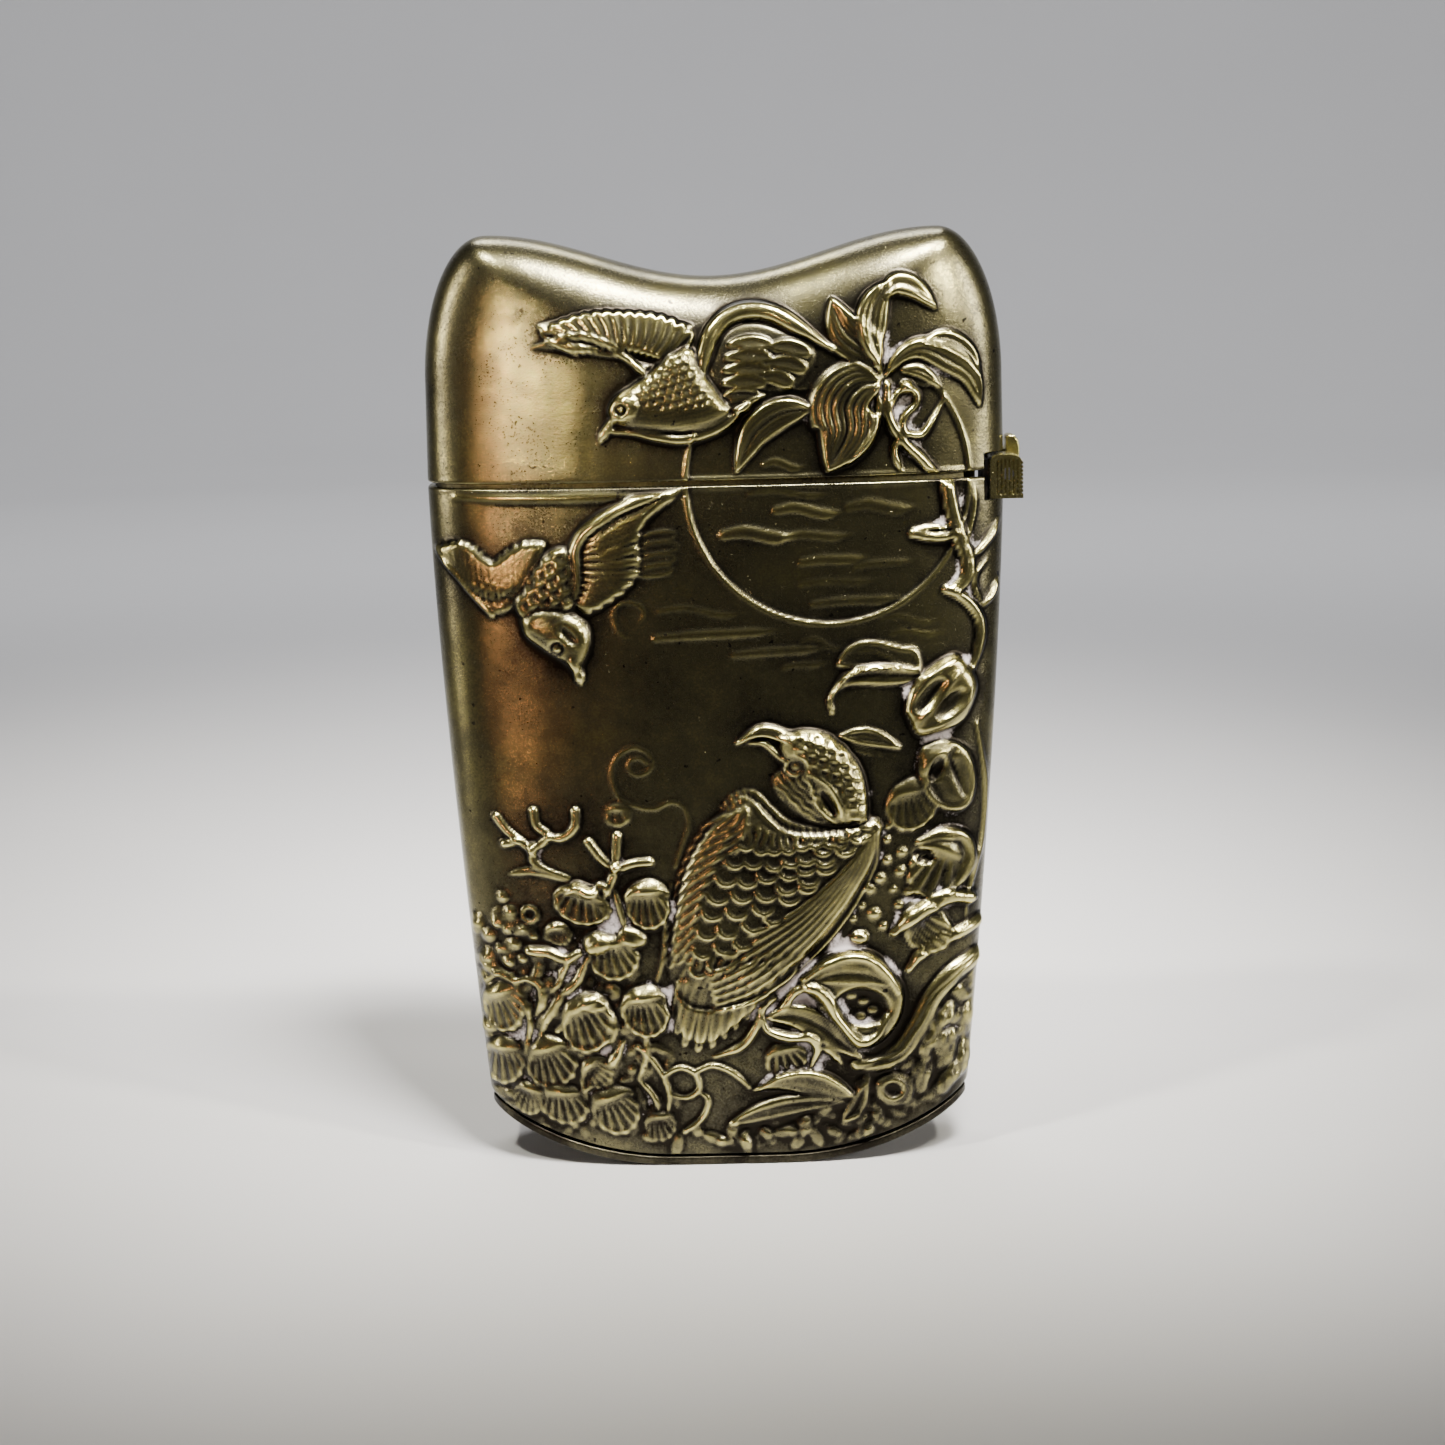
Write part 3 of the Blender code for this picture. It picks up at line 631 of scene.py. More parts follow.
def draw_lid_foliage(relief):
    """Leaves springing from one joint at the right of the lid."""
    joint = (10.8, 52.4)
    relief.ridge([joint, (10.5, 54.0), (10.9, 55.4)], 0.55, 0.45)
    relief.ridge([(7.4, 54.7), (9.2, 53.6), joint], 0.5, 0.4)
    relief.blade(
        [(10.4, 53.1), (9.9, 54.4), (8.5, 55.6), (7.6, 57.6)], 2.6, 0.62, lean=-0.35, ribs=3, rib=0.12,
    )
    relief.blade(
        [(10.7, 53.2), (10.2, 55.1), (10.4, 57.0), (11.4, 58.6)], 2.2, 0.70, lean=0.35, ribs=3,
        rib=0.14, belly=0.55,
    )
    relief.blade(
        [(10.9, 57.6), (11.8, 58.4), (13.0, 58.1), (14.4, 56.8)], 1.5, 0.60, lean=-0.3, ribs=3,
        rib=0.12, belly=0.4,
    )
    relief.blade(
        [(10.9, 52.4), (12.0, 53.8), (13.4, 54.3), (15.0, 53.6), (16.5, 52.5), (17.2, 50.5)], 1.7, 0.62,
        lean=0.3, ribs=3, rib=0.14, belly=0.55,
    )
    relief.blade([(13.4, 54.7), (15.0, 54.9), (16.4, 54.0), (17.2, 52.4)], 1.2, 0.45, ribs=3, rib=0.12)
    relief.blade(
        [(10.7, 52.3), (9.2, 52.0), (8.3, 50.8), (8.4, 49.0), (7.2, 46.6)], 4.6, 0.72, belly=0.42,
        ribs=5, rib=0.20, lean=0.25, midrib=0.16,
    )
    relief.ridge(
        [(10.5, 52.0), (10.6, 50.3), (10.0, 48.6), (8.6, 47.0)], 0.6, 0.45, ends=(0.5, 0.3), under=0.9,
    )
    relief.blade(
        [(6.2, 50.7), (4.3, 50.4), (2.8, 49.4), (2.0, 48.1), (1.4, 46.7)], 2.2, 0.45, ribs=4, rib=0.16,
        lean=-0.4, belly=0.4, rim=0.10,
    )
    relief.ridge(
        [(11.1, 52.1), (11.2, 50.1), (12.1, 48.5), (13.2, 47.4), (14.2, 46.2)], 0.65, 0.42,
        ends=(0.8, 0.9), edges=0.06,
    )
    relief.ridge([(12.0, 49.0), (11.6, 47.8), (12.0, 46.5)], 0.45, 0.34)
    relief.ridge(
        [
            (11.3, 50.6), (11.9, 51.6), (12.9, 51.6), (13.0, 50.8), (12.2, 49.9), (12.3, 49.0),
            (13.3, 48.8), (14.0, 49.6), (14.8, 51.0),
        ],
        0.5, 0.42, ends=(0.8, 0.3),
    )
    relief.dome((12.4, 51.9), (0.5, 0.4), 0.5, angle=-30)
    relief.blade([(12.0, 53.0), (13.4, 52.8), (14.6, 51.8)], 0.8, 0.38, ribs=1)
    relief.dust(
        [
            (11.0, 51.5, 1.3, 1.0), (11.4, 54.4, 1.3, 1.0), (12.6, 50.2, 1.6, 1.0),
            (14.6, 52.6, 1.4, 0.9), (4.4, 54.4, 0.8, 1.0), (6.2, 50.2, 0.8, 0.9),
            (13.4, 47.8, 1.3, 0.9), (17.2, 47.9, 1.8, 1.3), (16.6, 53.6, 1.4, 0.8),
        ],
    )


def draw_diving_bird(relief):
    """The bird at the upper left of the body, head down, wings spread."""
    # left wing: a straight thin leading edge and two groups of short feathers
    edge = [(-18.6, 42.1), (-17.4, 40.7), (-16.2, 39.2), (-14.7, 37.6)]
    relief.pad(
        [
            (-18.4, 42.0), (-16.4, 42.5), (-14.6, 41.2), (-12.4, 42.5), (-11.0, 42.2), (-12.4, 39.6),
            (-13.2, 38.2), (-14.7, 37.7), (-16.3, 39.3),
        ],
        0.22, 0.5, under=0.6,
    )
    relief.hold()
    relief.fan(
        resample([(-17.0, 40.2), (-15.6, 38.9), (-14.6, 38.6)], 8)[::-1],
        resample([(-18.3, 42.2), (-17.2, 42.5), (-15.9, 42.3), (-14.9, 41.5)], 8)[::-1], 0.62, 0.24,
        bend=0.03, rim=0.08,
    )
    relief.fan(
        resample([(-14.2, 38.8), (-13.2, 39.0), (-12.6, 39.6)], 7),
        resample([(-14.4, 41.2), (-13.6, 42.0), (-12.5, 42.5), (-11.2, 42.4)], 7), 0.62, 0.24,
        bend=0.03, rim=0.08,
    )
    knuckles = [(-16.3, 39.7), (-15.2, 40.2), (-13.8, 40.1), (-12.8, 39.4), (-13.3, 38.1), (-14.8, 37.7)]
    relief.tiles(knuckles, (-12.5, 39.0), (0.3, 1), 0.45, 0.26, edge=0.25)
    relief.ridge(edge, 0.30, 0.36, ends=(0.3, 0.9), under=0.9)
    # right wing: a thick curved arm, long parallel feathers, and lobed outer feathers
    arm = [
        (-9.6, 38.4), (-9.2, 39.5), (-9.2, 40.9), (-9.2, 41.9), (-8.6, 43.0), (-7.4, 43.9),
        (-5.8, 44.7), (-4.2, 45.2), (-2.3, 45.6),
    ]
    roots = [(-8.2, 43.3), (-8.6, 42.0), (-8.8, 40.8), (-8.9, 39.6), (-9.2, 38.5)]
    tips = [
        (-2.6, 45.2), (-4.0, 44.2), (-4.8, 43.1), (-5.0, 42.0), (-4.9, 41.0), (-5.2, 40.0),
        (-6.0, 39.1), (-7.2, 38.3), (-8.2, 37.8),
    ]
    relief.pad(arm + tips, 0.22, 0.5, under=0.6)
    relief.hold()
    for z in (40.45, 41.15, 41.9, 42.65):
        relief.blade(
            [(-5.3, z - 0.25), (-3.9, z), (-2.4 - 0.3 * abs(z - 42), z + 0.1)], 0.85, 0.22, belly=0.6,
            point=0.3, ribs=0, midrib=0.0, rim=0.12, dish=0.6, under=None,
        )
    relief.fan(resample(roots, 13)[::-1], resample(tips, 13)[::-1], 0.62, 0.26, bend=-0.04, rim=0.08)
    relief.ridge(arm, 0.80, 0.52, ends=(0.8, 0.2), under=0.7)
    for shift in (0.0, 0.22):
        relief.groove(
            [
                (-8.3 + shift, 42.6 - shift), (-7.2 + shift, 43.5 - shift), (-5.6, 44.3 - shift),
                (-3.6, 45.0 - shift),
            ],
            0.12, 0.12,
        )
    # scaly body, smooth head with a dark cheek, eye and bill
    body = [
        (-13.1, 39.0), (-12.2, 40.4), (-11.3, 41.6), (-9.8, 42.1), (-9.2, 40.7), (-9.2, 39.0),
        (-9.5, 37.8), (-11.0, 37.4), (-12.4, 37.2), (-13.2, 38.0),
    ]
    relief.pad(body, 0.58, 1.2, under=0.2)
    relief.tiles(body, (-10.3, 42.0), (-0.35, -1), 0.74, 0.36, edge=0.3)
    head = [
        (-12.9, 37.4), (-11.9, 38.1), (-10.8, 38.2), (-9.5, 37.8), (-8.5, 37.0), (-8.3, 35.8),
        (-8.7, 34.7), (-9.3, 33.9), (-10.2, 34.6), (-11.5, 35.4), (-12.6, 36.3),
    ]
    relief.pad(head, 0.85, 1.5, under=0.2)
    relief.ridge([(-9.6, 34.7), (-9.2, 33.9), (-9.0, 33.0)], 0.66, 0.48, ends=(0.9, 0.12), under=0.6)
    relief.groove([(-9.5, 34.6), (-9.2, 33.9), (-9.05, 33.3)], 0.11, 0.14)
    relief.tiles(
        [(-12.9, 38.0), (-11.0, 38.3), (-9.7, 37.4), (-10.2, 36.2), (-11.6, 36.5), (-12.7, 37.0)],
        (-11.0, 38.4), (0.2, -1), 0.40, 0.20, edge=0.25,
    )
    relief.dome((-9.7, 36.35), (0.85, 0.42), -0.26, angle=-50, under=1.0)
    relief.ridge([(-10.4, 36.6), (-9.9, 36.0), (-9.3, 35.6), (-8.8, 35.7)], 0.2, 0.12, under=1.0)
    relief.groove([(-12.4, 36.7), (-11.4, 36.0), (-10.9, 35.4), (-10.0, 34.9)], 0.15, 0.12)
    relief.ring((-10.5, 35.5), 0.36, 0.2, 0.16)
    relief.dome((-10.5, 35.5), (0.2, 0.2), 0.14, under=0.9)
    relief.ridge(
        [(-7.0, 37.4), (-6.5, 38.2), (-5.8, 38.4), (-5.0, 38.1), (-4.8, 37.4), (-5.3, 36.9)], 0.22,
        0.10, under=0.9,
    )
    relief.ridge([(-6.6, 38.0), (-6.7, 37.0), (-6.2, 36.2), (-5.5, 36.1)], 0.2, 0.09, under=0.9)
    relief.dust([(-4.9, 42.4, 0.6, 0.9)])


def draw_branch(relief):
    """The angular branch down the right edge of the body, drawn with raised edges."""
    relief.ridge(
        [
            (15.0, 45.7), (15.2, 44.3), (15.5, 43.0), (15.9, 41.8), (16.3, 40.5), (16.2, 39.4),
            (15.4, 38.6),
        ],
        0.95, 0.40, ends=(0.9, 0.8), flat=4.0, edges=0.10,
    )
    relief.ridge(
        [(14.9, 38.7), (16.2, 37.9), (17.0, 36.8), (17.2, 35.7), (17.0, 34.5), (16.6, 33.4)], 0.62,
        0.36, ends=(0.9, 0.7), flat=4.0, edges=0.08,
    )
    relief.ridge(
        [(15.7, 42.3), (14.4, 42.15), (12.7, 42.4)], 0.65, 0.34, ends=(0.9, 0.7), flat=4.0, edges=0.08,
    )
    relief.ridge([(12.7, 42.7), (14.2, 42.8), (14.9, 42.7), (15.2, 43.5)], 0.3, 0.30)
    relief.ridge([(16.4, 40.6), (17.2, 41.2), (18.0, 42.1), (18.5, 43.0)], 0.42, 0.32, edges=0.05)
    relief.ridge([(16.2, 41.4), (16.5, 42.6), (16.8, 44.0), (16.8, 45.6)], 0.32, 0.24)
    relief.ridge([(17.3, 37.5), (16.8, 38.6), (16.9, 39.7), (17.7, 40.4)], 0.36, 0.30)
    relief.ridge([(17.4, 37.4), (18.0, 38.1), (18.5, 39.2)], 0.36, 0.30)
    relief.dust(
        [
            (14.8, 42.9, 1.0, 1.1), (15.4, 39.7, 1.3, 1.2), (16.9, 42.2, 1.1, 1.1),
            (17.2, 38.6, 1.1, 1.1), (16.3, 33.6, 0.9, 1.2), (16.3, 44.6, 0.9, 0.9),
        ],
    )


def draw_right_column(relief):
    """Leaves, buds and curled leaves down the right side."""
    # two long leaves reaching left, drawn in raised lines
    relief.pad(
        [
            (13.3, 33.3), (12.9, 34.8), (11.8, 35.1), (10.4, 35.5), (9.1, 35.5), (8.1, 34.9),
            (7.7, 33.9), (9.4, 33.7), (11.2, 33.7),
        ],
        0.20, 0.4, rim=0.16, dish=0.3,
    )
    relief.ridge([(8.4, 34.8), (9.8, 34.9), (11.0, 34.4), (11.9, 33.8)], 0.16, 0.10, under=1.0)
    relief.blade(
        [(13.4, 33.1), (11.6, 33.2), (9.7, 33.3), (8.3, 33.0), (7.5, 32.2)], 1.5, 0.42, ribs=3,
        rib=0.14, lean=-0.2, belly=0.45, rim=0.10,
    )
    relief.ridge(
        [(12.9, 33.5), (11.0, 33.8), (9.2, 33.7), (8.0, 33.0), (7.2, 31.8), (7.3, 30.9)], 0.30, 0.38,
        ends=(0.3, 0.9), under=0.9,
    )
    # open bud
    bud = [
        (12.1, 30.7), (12.4, 32.3), (13.5, 33.5), (15.3, 34.4), (16.3, 33.6), (16.9, 32.4),
        (16.6, 31.0), (15.8, 29.8), (14.3, 29.2), (12.9, 29.1),
    ]
    relief.pad(bud, 0.85, 1.2, rim=0.05)
    relief.dome((13.6, 31.8), (1.5, 0.62), -0.42, angle=48, under=1.0)
    relief.dome((14.9, 31.2), (1.3, 0.55), -0.34, angle=44, under=1.0)
    relief.ridge([(12.6, 29.7), (13.7, 31.2), (14.8, 32.6), (15.9, 33.6)], 0.30, 0.22, under=1.0)
    relief.ridge([(13.0, 29.5), (14.4, 29.9), (15.8, 31.0), (16.5, 32.4)], 0.30, 0.16, under=1.0)
    relief.ridge([(13.2, 32.8), (14.2, 33.5), (15.4, 34.1)], 0.45, 0.18, under=1.0)
    # flat round leaf, then an egg-shaped bud over it
    relief.shell((12.5, 24.4), (1.9, 1.75), 0.48, -95, ribs=8, rib=0.10, crown=0.15)
    relief.shell((14.9, 26.3), (2.5, 1.95), 0.80, -62, ribs=3, rib=0.14, crown=0.3)
    relief.dome((14.1, 26.9), (0.95, 0.55), -0.45, angle=70, under=1.0)
    relief.ridge(
        [(12.9, 27.6), (13.6, 28.5), (14.9, 28.6), (16.2, 27.8), (16.9, 26.5)], 0.35, 0.16, under=1.0,
    )
    relief.groove([(14.9, 28.0), (15.4, 26.4), (16.0, 24.6)], 0.2, 0.16)
    # hooked leaf
    relief.shell((14.1, 20.2), (2.2, 1.9), 0.62, -135, ribs=8, rib=0.14, crown=0.25)
    relief.ridge(
        [(12.9, 21.9), (14.4, 22.4), (15.9, 22.0), (16.4, 20.6), (15.8, 19.2), (14.6, 18.1)], 0.85,
        0.45, under=0.9, ends=(0.5, 0.4),
    )
    relief.dome((13.3, 20.9), (0.8, 0.5), -0.35, angle=-20, under=1.0)
    # stem at the far right
    relief.ridge(
        [
            (16.9, 29.6), (17.2, 27.8), (17.5, 25.6), (17.5, 23.4), (17.2, 21.2), (16.6, 19.2),
            (16.2, 17.4), (16.2, 15.6),
        ],
        0.40, 0.20, under=0.9, edges=0.06,
    )
    # berries
    berries = [
        (10.8, 20.8), (10.3, 19.6), (11.2, 18.8), (11.7, 20.0), (11.8, 21.3), (9.1, 17.8), (9.9, 17.2),
        (10.5, 16.3), (10.8, 22.2), (9.6, 18.9), (8.5, 16.9), (11.6, 17.7), (12.3, 18.6), (10.9, 23.1),
    ]
    for index, (x, z) in enumerate(berries):
        size = 0.36 + 0.12 * math.sin(index * 2.3)
        relief.dome((x, z), (size, size * 0.9), 0.24, under=0.7)
        relief.ring((x, z), size * 0.7, 0.16, 0.06)
    relief.dome((8.9, 15.6), (0.62, 0.5), 0.45)
    relief.dust(
        [
            (14.2, 29.2, 1.2, 1.2), (12.4, 27.8, 1.2, 0.9), (16.9, 28.6, 1.2, 0.9),
            (10.4, 21.6, 1.8, 0.8), (11.6, 17.2, 1.9, 1.0), (9.4, 16.6, 1.6, 1.0),
            (15.2, 22.9, 1.4, 0.8), (13.2, 22.4, 1.0, 0.8), (17.2, 24.0, 1.2, 0.7),
            (12.6, 32.2, 1.0, 1.1),
        ],
    )


def draw_quail(relief):
    """The large bird in the middle, seen from behind with its head turned to the left."""
    left_edge = [
        (0.6, 25.0), (-0.9, 23.4), (-2.2, 21.4), (-3.0, 19.2), (-3.4, 17.2), (-3.7, 15.2), (-3.8, 13.2),
    ]
    right_edge = [
        (10.3, 23.6), (10.3, 21.9), (9.6, 19.9), (8.5, 18.1), (7.3, 16.4), (6.0, 14.9), (4.3, 13.4),
        (2.4, 12.0),
    ]
    # tail feathers, the right-hand ones lowest
    relief.pad(
        [
            (-3.5, 13.0), (-3.3, 9.8), (-2.7, 8.8), (-1.2, 8.6), (0.2, 9.5), (1.8, 10.9), (3.4, 12.6),
            (2.0, 14.4),
        ],
        0.34, 0.9, under=0.2,
    )
    relief.hold()
    roots = resample([(-2.2, 14.6), (0.4, 15.0), (2.8, 15.0), (5.2, 14.6)], 11)
    tips = resample(
        [
            (-3.5, 10.2), (-3.2, 8.7), (-2.1, 8.0), (-1.0, 8.3), (0.0, 9.1), (1.2, 10.1), (2.3, 11.1),
            (3.3, 12.2),
        ],
        11,
    )
    relief.fan(roots[::-1], tips[::-1], 0.85, 0.24, bend=-0.04, rim=0.17, point=0.36)
    # body
    outline = left_edge + [(-2.8, 11.4), (-1.4, 10.9), (0.6, 11.2)] + right_edge[::-1] + [
        (9.0, 23.4), (6.6, 22.9), (4.2, 23.2), (2.6, 24.8), (1.4, 25.5),
    ]
    relief.pad(
        outline, 0.70, 3.0, under=0.5, lift=lambda x, z: 0.25 + 0.75 * ease((z + 0.4 * x - 10.5) / 4.0),
    )
    relief.hold()
    # long wing feathers sweeping round the right flank to the tail
    inner = [(8.4, 20.8), (6.6, 18.8), (4.6, 17.2), (2.6, 16.1), (0.6, 15.2), (-1.4, 14.0)]
    outer = right_edge + [(1.0, 11.4), (-0.8, 10.9)]
    for share in np.linspace(0.0, 0.94, 7):
        relief.blade(
            between(inner, outer, share, 8), 1.1, 0.28, belly=0.62, ribs=1, rib=0.05, midrib=0.05,
            rim=0.20, dish=0.6, under=None, point=0.3,
        )
    # ragged plumes down the left flank, the lowest first
    flank = [(1.6, 24.8), (1.4, 22.8), (0.3, 20.3), (-0.8, 17.8), (-1.7, 15.4), (-2.2, 12.8)]
    inset, edge = resample(flank, 90), resample(left_edge, 90)
    for step in range(11, -1, -1):
        for share in (0.75, 0.40, 0.05):
            first = 6 * step + int(7 * share)
            stroke = [
                inset[first + run] + (edge[first + run] - inset[first + run]) * min(1.06, share + spread)
                for run, spread in ((0, 0.0), (4, 0.06), (9, 0.19), (14, 0.38))
            ]
            relief.blade(
                stroke, 0.72, 0.20, belly=0.6, ribs=0, midrib=0.03, rim=0.18, dish=0.6, under=None,
                point=0.38,
            )
    # rows of overlapping back feathers, lowest row first
    rows = [
        ([(-2.1, 13.3), (-0.9, 13.6)], 2, 1.15, (-0.5, -1.0)),
        ([(-1.9, 14.6), (-0.6, 14.7), (0.8, 15.2)], 3, 1.25, (-0.5, -1.0)),
        ([(-1.6, 15.8), (-0.2, 15.9), (1.4, 16.3), (2.8, 16.9)], 4, 1.35, (-0.45, -1.0)),
        ([(-1.1, 17.1), (0.4, 17.1), (2.2, 17.4), (3.9, 18.0), (5.3, 18.8)], 5, 1.45, (-0.4, -1.0)),
        ([(-0.6, 18.3), (1.0, 18.3), (2.8, 18.5), (4.6, 19.0), (6.6, 20.1)], 6, 1.45, (-0.3, -1.0)),
        ([(0.1, 19.5), (1.8, 19.4), (3.6, 19.6), (5.6, 20.1), (7.7, 21.2)], 7, 1.4, (-0.2, -1.0)),
        ([(0.8, 20.7), (2.4, 20.5), (4.2, 20.6), (6.4, 21.1), (8.7, 22.2)], 8, 1.25, (-0.1, -1.0)),
        ([(1.5, 21.8), (3.2, 21.5), (5.2, 21.6), (7.2, 22.0), (9.4, 23.0)], 10, 1.0, (-0.05, -1.0)),
    ]
    for line, count, size, (dx, dz) in rows:
        for x, z in resample(line, count):
            shift = relief.random.uniform(-0.14, 0.14, 2)
            length = size * relief.random.uniform(1.0, 1.25)
            tip = (x + shift[0], z + shift[1])
            relief.plume((tip[0] - dx * length, tip[1] - dz * length), tip, size * 1.2, 0.15, rim=0.17)
    mantle = [(1.4, 24.0), (3.0, 23.2), (6.5, 22.7), (9.6, 23.0), (9.2, 22.3), (5.0, 21.9), (1.6, 22.2)]
    relief.hold()
    relief.pad(mantle, 0.10, 0.8, under=None)
    relief.hatch(mantle, [(5.4, 24.4), (5.0, 20.0)], 0.50, 0.16)
    # ruffled collar of short strokes
    collar = [
        (0.2, 24.7), (1.0, 25.4), (2.0, 25.4), (2.9, 24.4), (4.0, 23.4), (5.3, 22.9), (6.8, 22.8),
        (8.3, 22.9), (9.5, 23.4), (10.2, 23.0),
    ]
    relief.ridge(collar, 1.0, 0.24, ends=(0.7, 0.8), under=0.9)
    relief.hold()
    for x, z in resample(collar, 25):
        lean = relief.random.uniform(-0.05, 0.35)
        relief.groove([(x - 0.25, z + 0.50), (x + lean, z - 0.55)], 0.19, 0.16, fade=0.3)
    # head: high at the crown and nape, lower at the throat
    head = [
        (3.7, 29.4), (4.9, 29.8), (6.1, 29.8), (7.3, 29.3), (8.3, 28.4), (9.1, 27.2), (9.5, 25.8),
        (9.6, 24.2), (9.3, 23.4), (7.6, 23.2), (6.0, 23.5), (4.9, 24.2), (4.0, 25.0), (3.4, 25.9),
        (3.4, 26.7), (4.0, 27.4), (3.8, 28.4),
    ]
    relief.pad(
        head, 0.95, 1.7, under=0.25, lift=lambda x,
        z: 0.45 + 0.55 * ease(((x - 4.6) * 0.75 + (z - 25.6) * 0.6) / 2.2),
    )
    relief.tiles(
        [
            (4.5, 29.6), (6.4, 29.7), (8.2, 28.5), (9.3, 26.4), (9.5, 23.8), (8.3, 23.5), (7.7, 25.6),
            (6.3, 27.0), (4.8, 28.2),
        ],
        (5.0, 29.6), (0.75, -0.9), 0.66, 0.44, edge=0.2,
    )
    relief.hatch(
        [(4.0, 27.2), (5.8, 26.8), (6.4, 25.2), (6.8, 23.7), (5.6, 23.8), (4.0, 25.0), (3.4, 26.2)],
        [(3.8, 26.6), (5.0, 25.2), (6.6, 23.8)], 0.42, 0.15, edge=0.2,
    )
    relief.ridge([(5.6, 27.0), (5.9, 25.8), (6.4, 24.5), (7.6, 23.3)], 0.26, 0.24, under=1.0)
    relief.ridge([(5.9, 26.9), (6.9, 26.2), (7.6, 25.0), (7.9, 23.5)], 0.26, 0.24, under=1.0)
    relief.dome((6.95, 24.9), (1.05, 0.32), -0.36, angle=-62, under=1.0)
    # bill, slightly hooked, with its mouth line
    relief.blade(
        [(5.4, 28.9), (3.9, 29.5), (2.6, 29.75), (1.0, 28.95)], 0.95, 0.55, belly=0.45, ribs=0, rib=0.0,
        midrib=0.0, lean=0.2, rim=0.04, under=0.5,
    )
    relief.blade(
        [(4.3, 27.4), (3.6, 28.3), (2.8, 28.95), (1.6, 29.0)], 0.5, 0.36, belly=0.4, ribs=0, rib=0.0,
        midrib=0.0, rim=0.03, under=0.6,
    )
    relief.groove([(1.3, 29.05), (2.5, 29.25), (3.4, 28.8), (4.2, 27.8)], 0.18, 0.24)
    # eye in its socket
    relief.dome((4.75, 27.35), (0.9, 0.75), -0.16, under=1.0)
    relief.ring((4.75, 27.35), 0.55, 0.26, 0.40)
    relief.dome((4.75, 27.38), (0.34, 0.28), 0.16, under=0.9)
    relief.ridge([(4.3, 27.2), (4.7, 26.85), (5.2, 27.1)], 0.2, 0.16, under=1.0)
    # crest plume
    relief.pad(
        [(7.4, 29.3), (9.0, 29.8), (10.5, 29.5), (11.9, 28.3), (10.6, 28.4), (9.0, 28.7)], 0.14, 0.35,
        rim=0.16, dish=0.3,
    )
    relief.ridge([(8.2, 29.1), (9.6, 29.2), (11.0, 28.8)], 0.14, 0.10, under=1.0)
    relief.blade([(8.0, 28.8), (9.3, 28.3), (10.6, 27.9)], 0.5, 0.16, belly=0.5, ribs=0, under=0.8)
    relief.dust(
        [
            (9.9, 25.2, 0.5, 0.9), (-3.8, 17.6, 0.8, 1.2), (-4.0, 14.6, 1.0, 1.2),
            (-3.8, 11.8, 1.1, 1.2), (4.4, 12.0, 1.4, 1.1), (10.8, 22.6, 0.8, 0.8),
            (8.0, 15.4, 1.2, 0.9),
        ],
    )


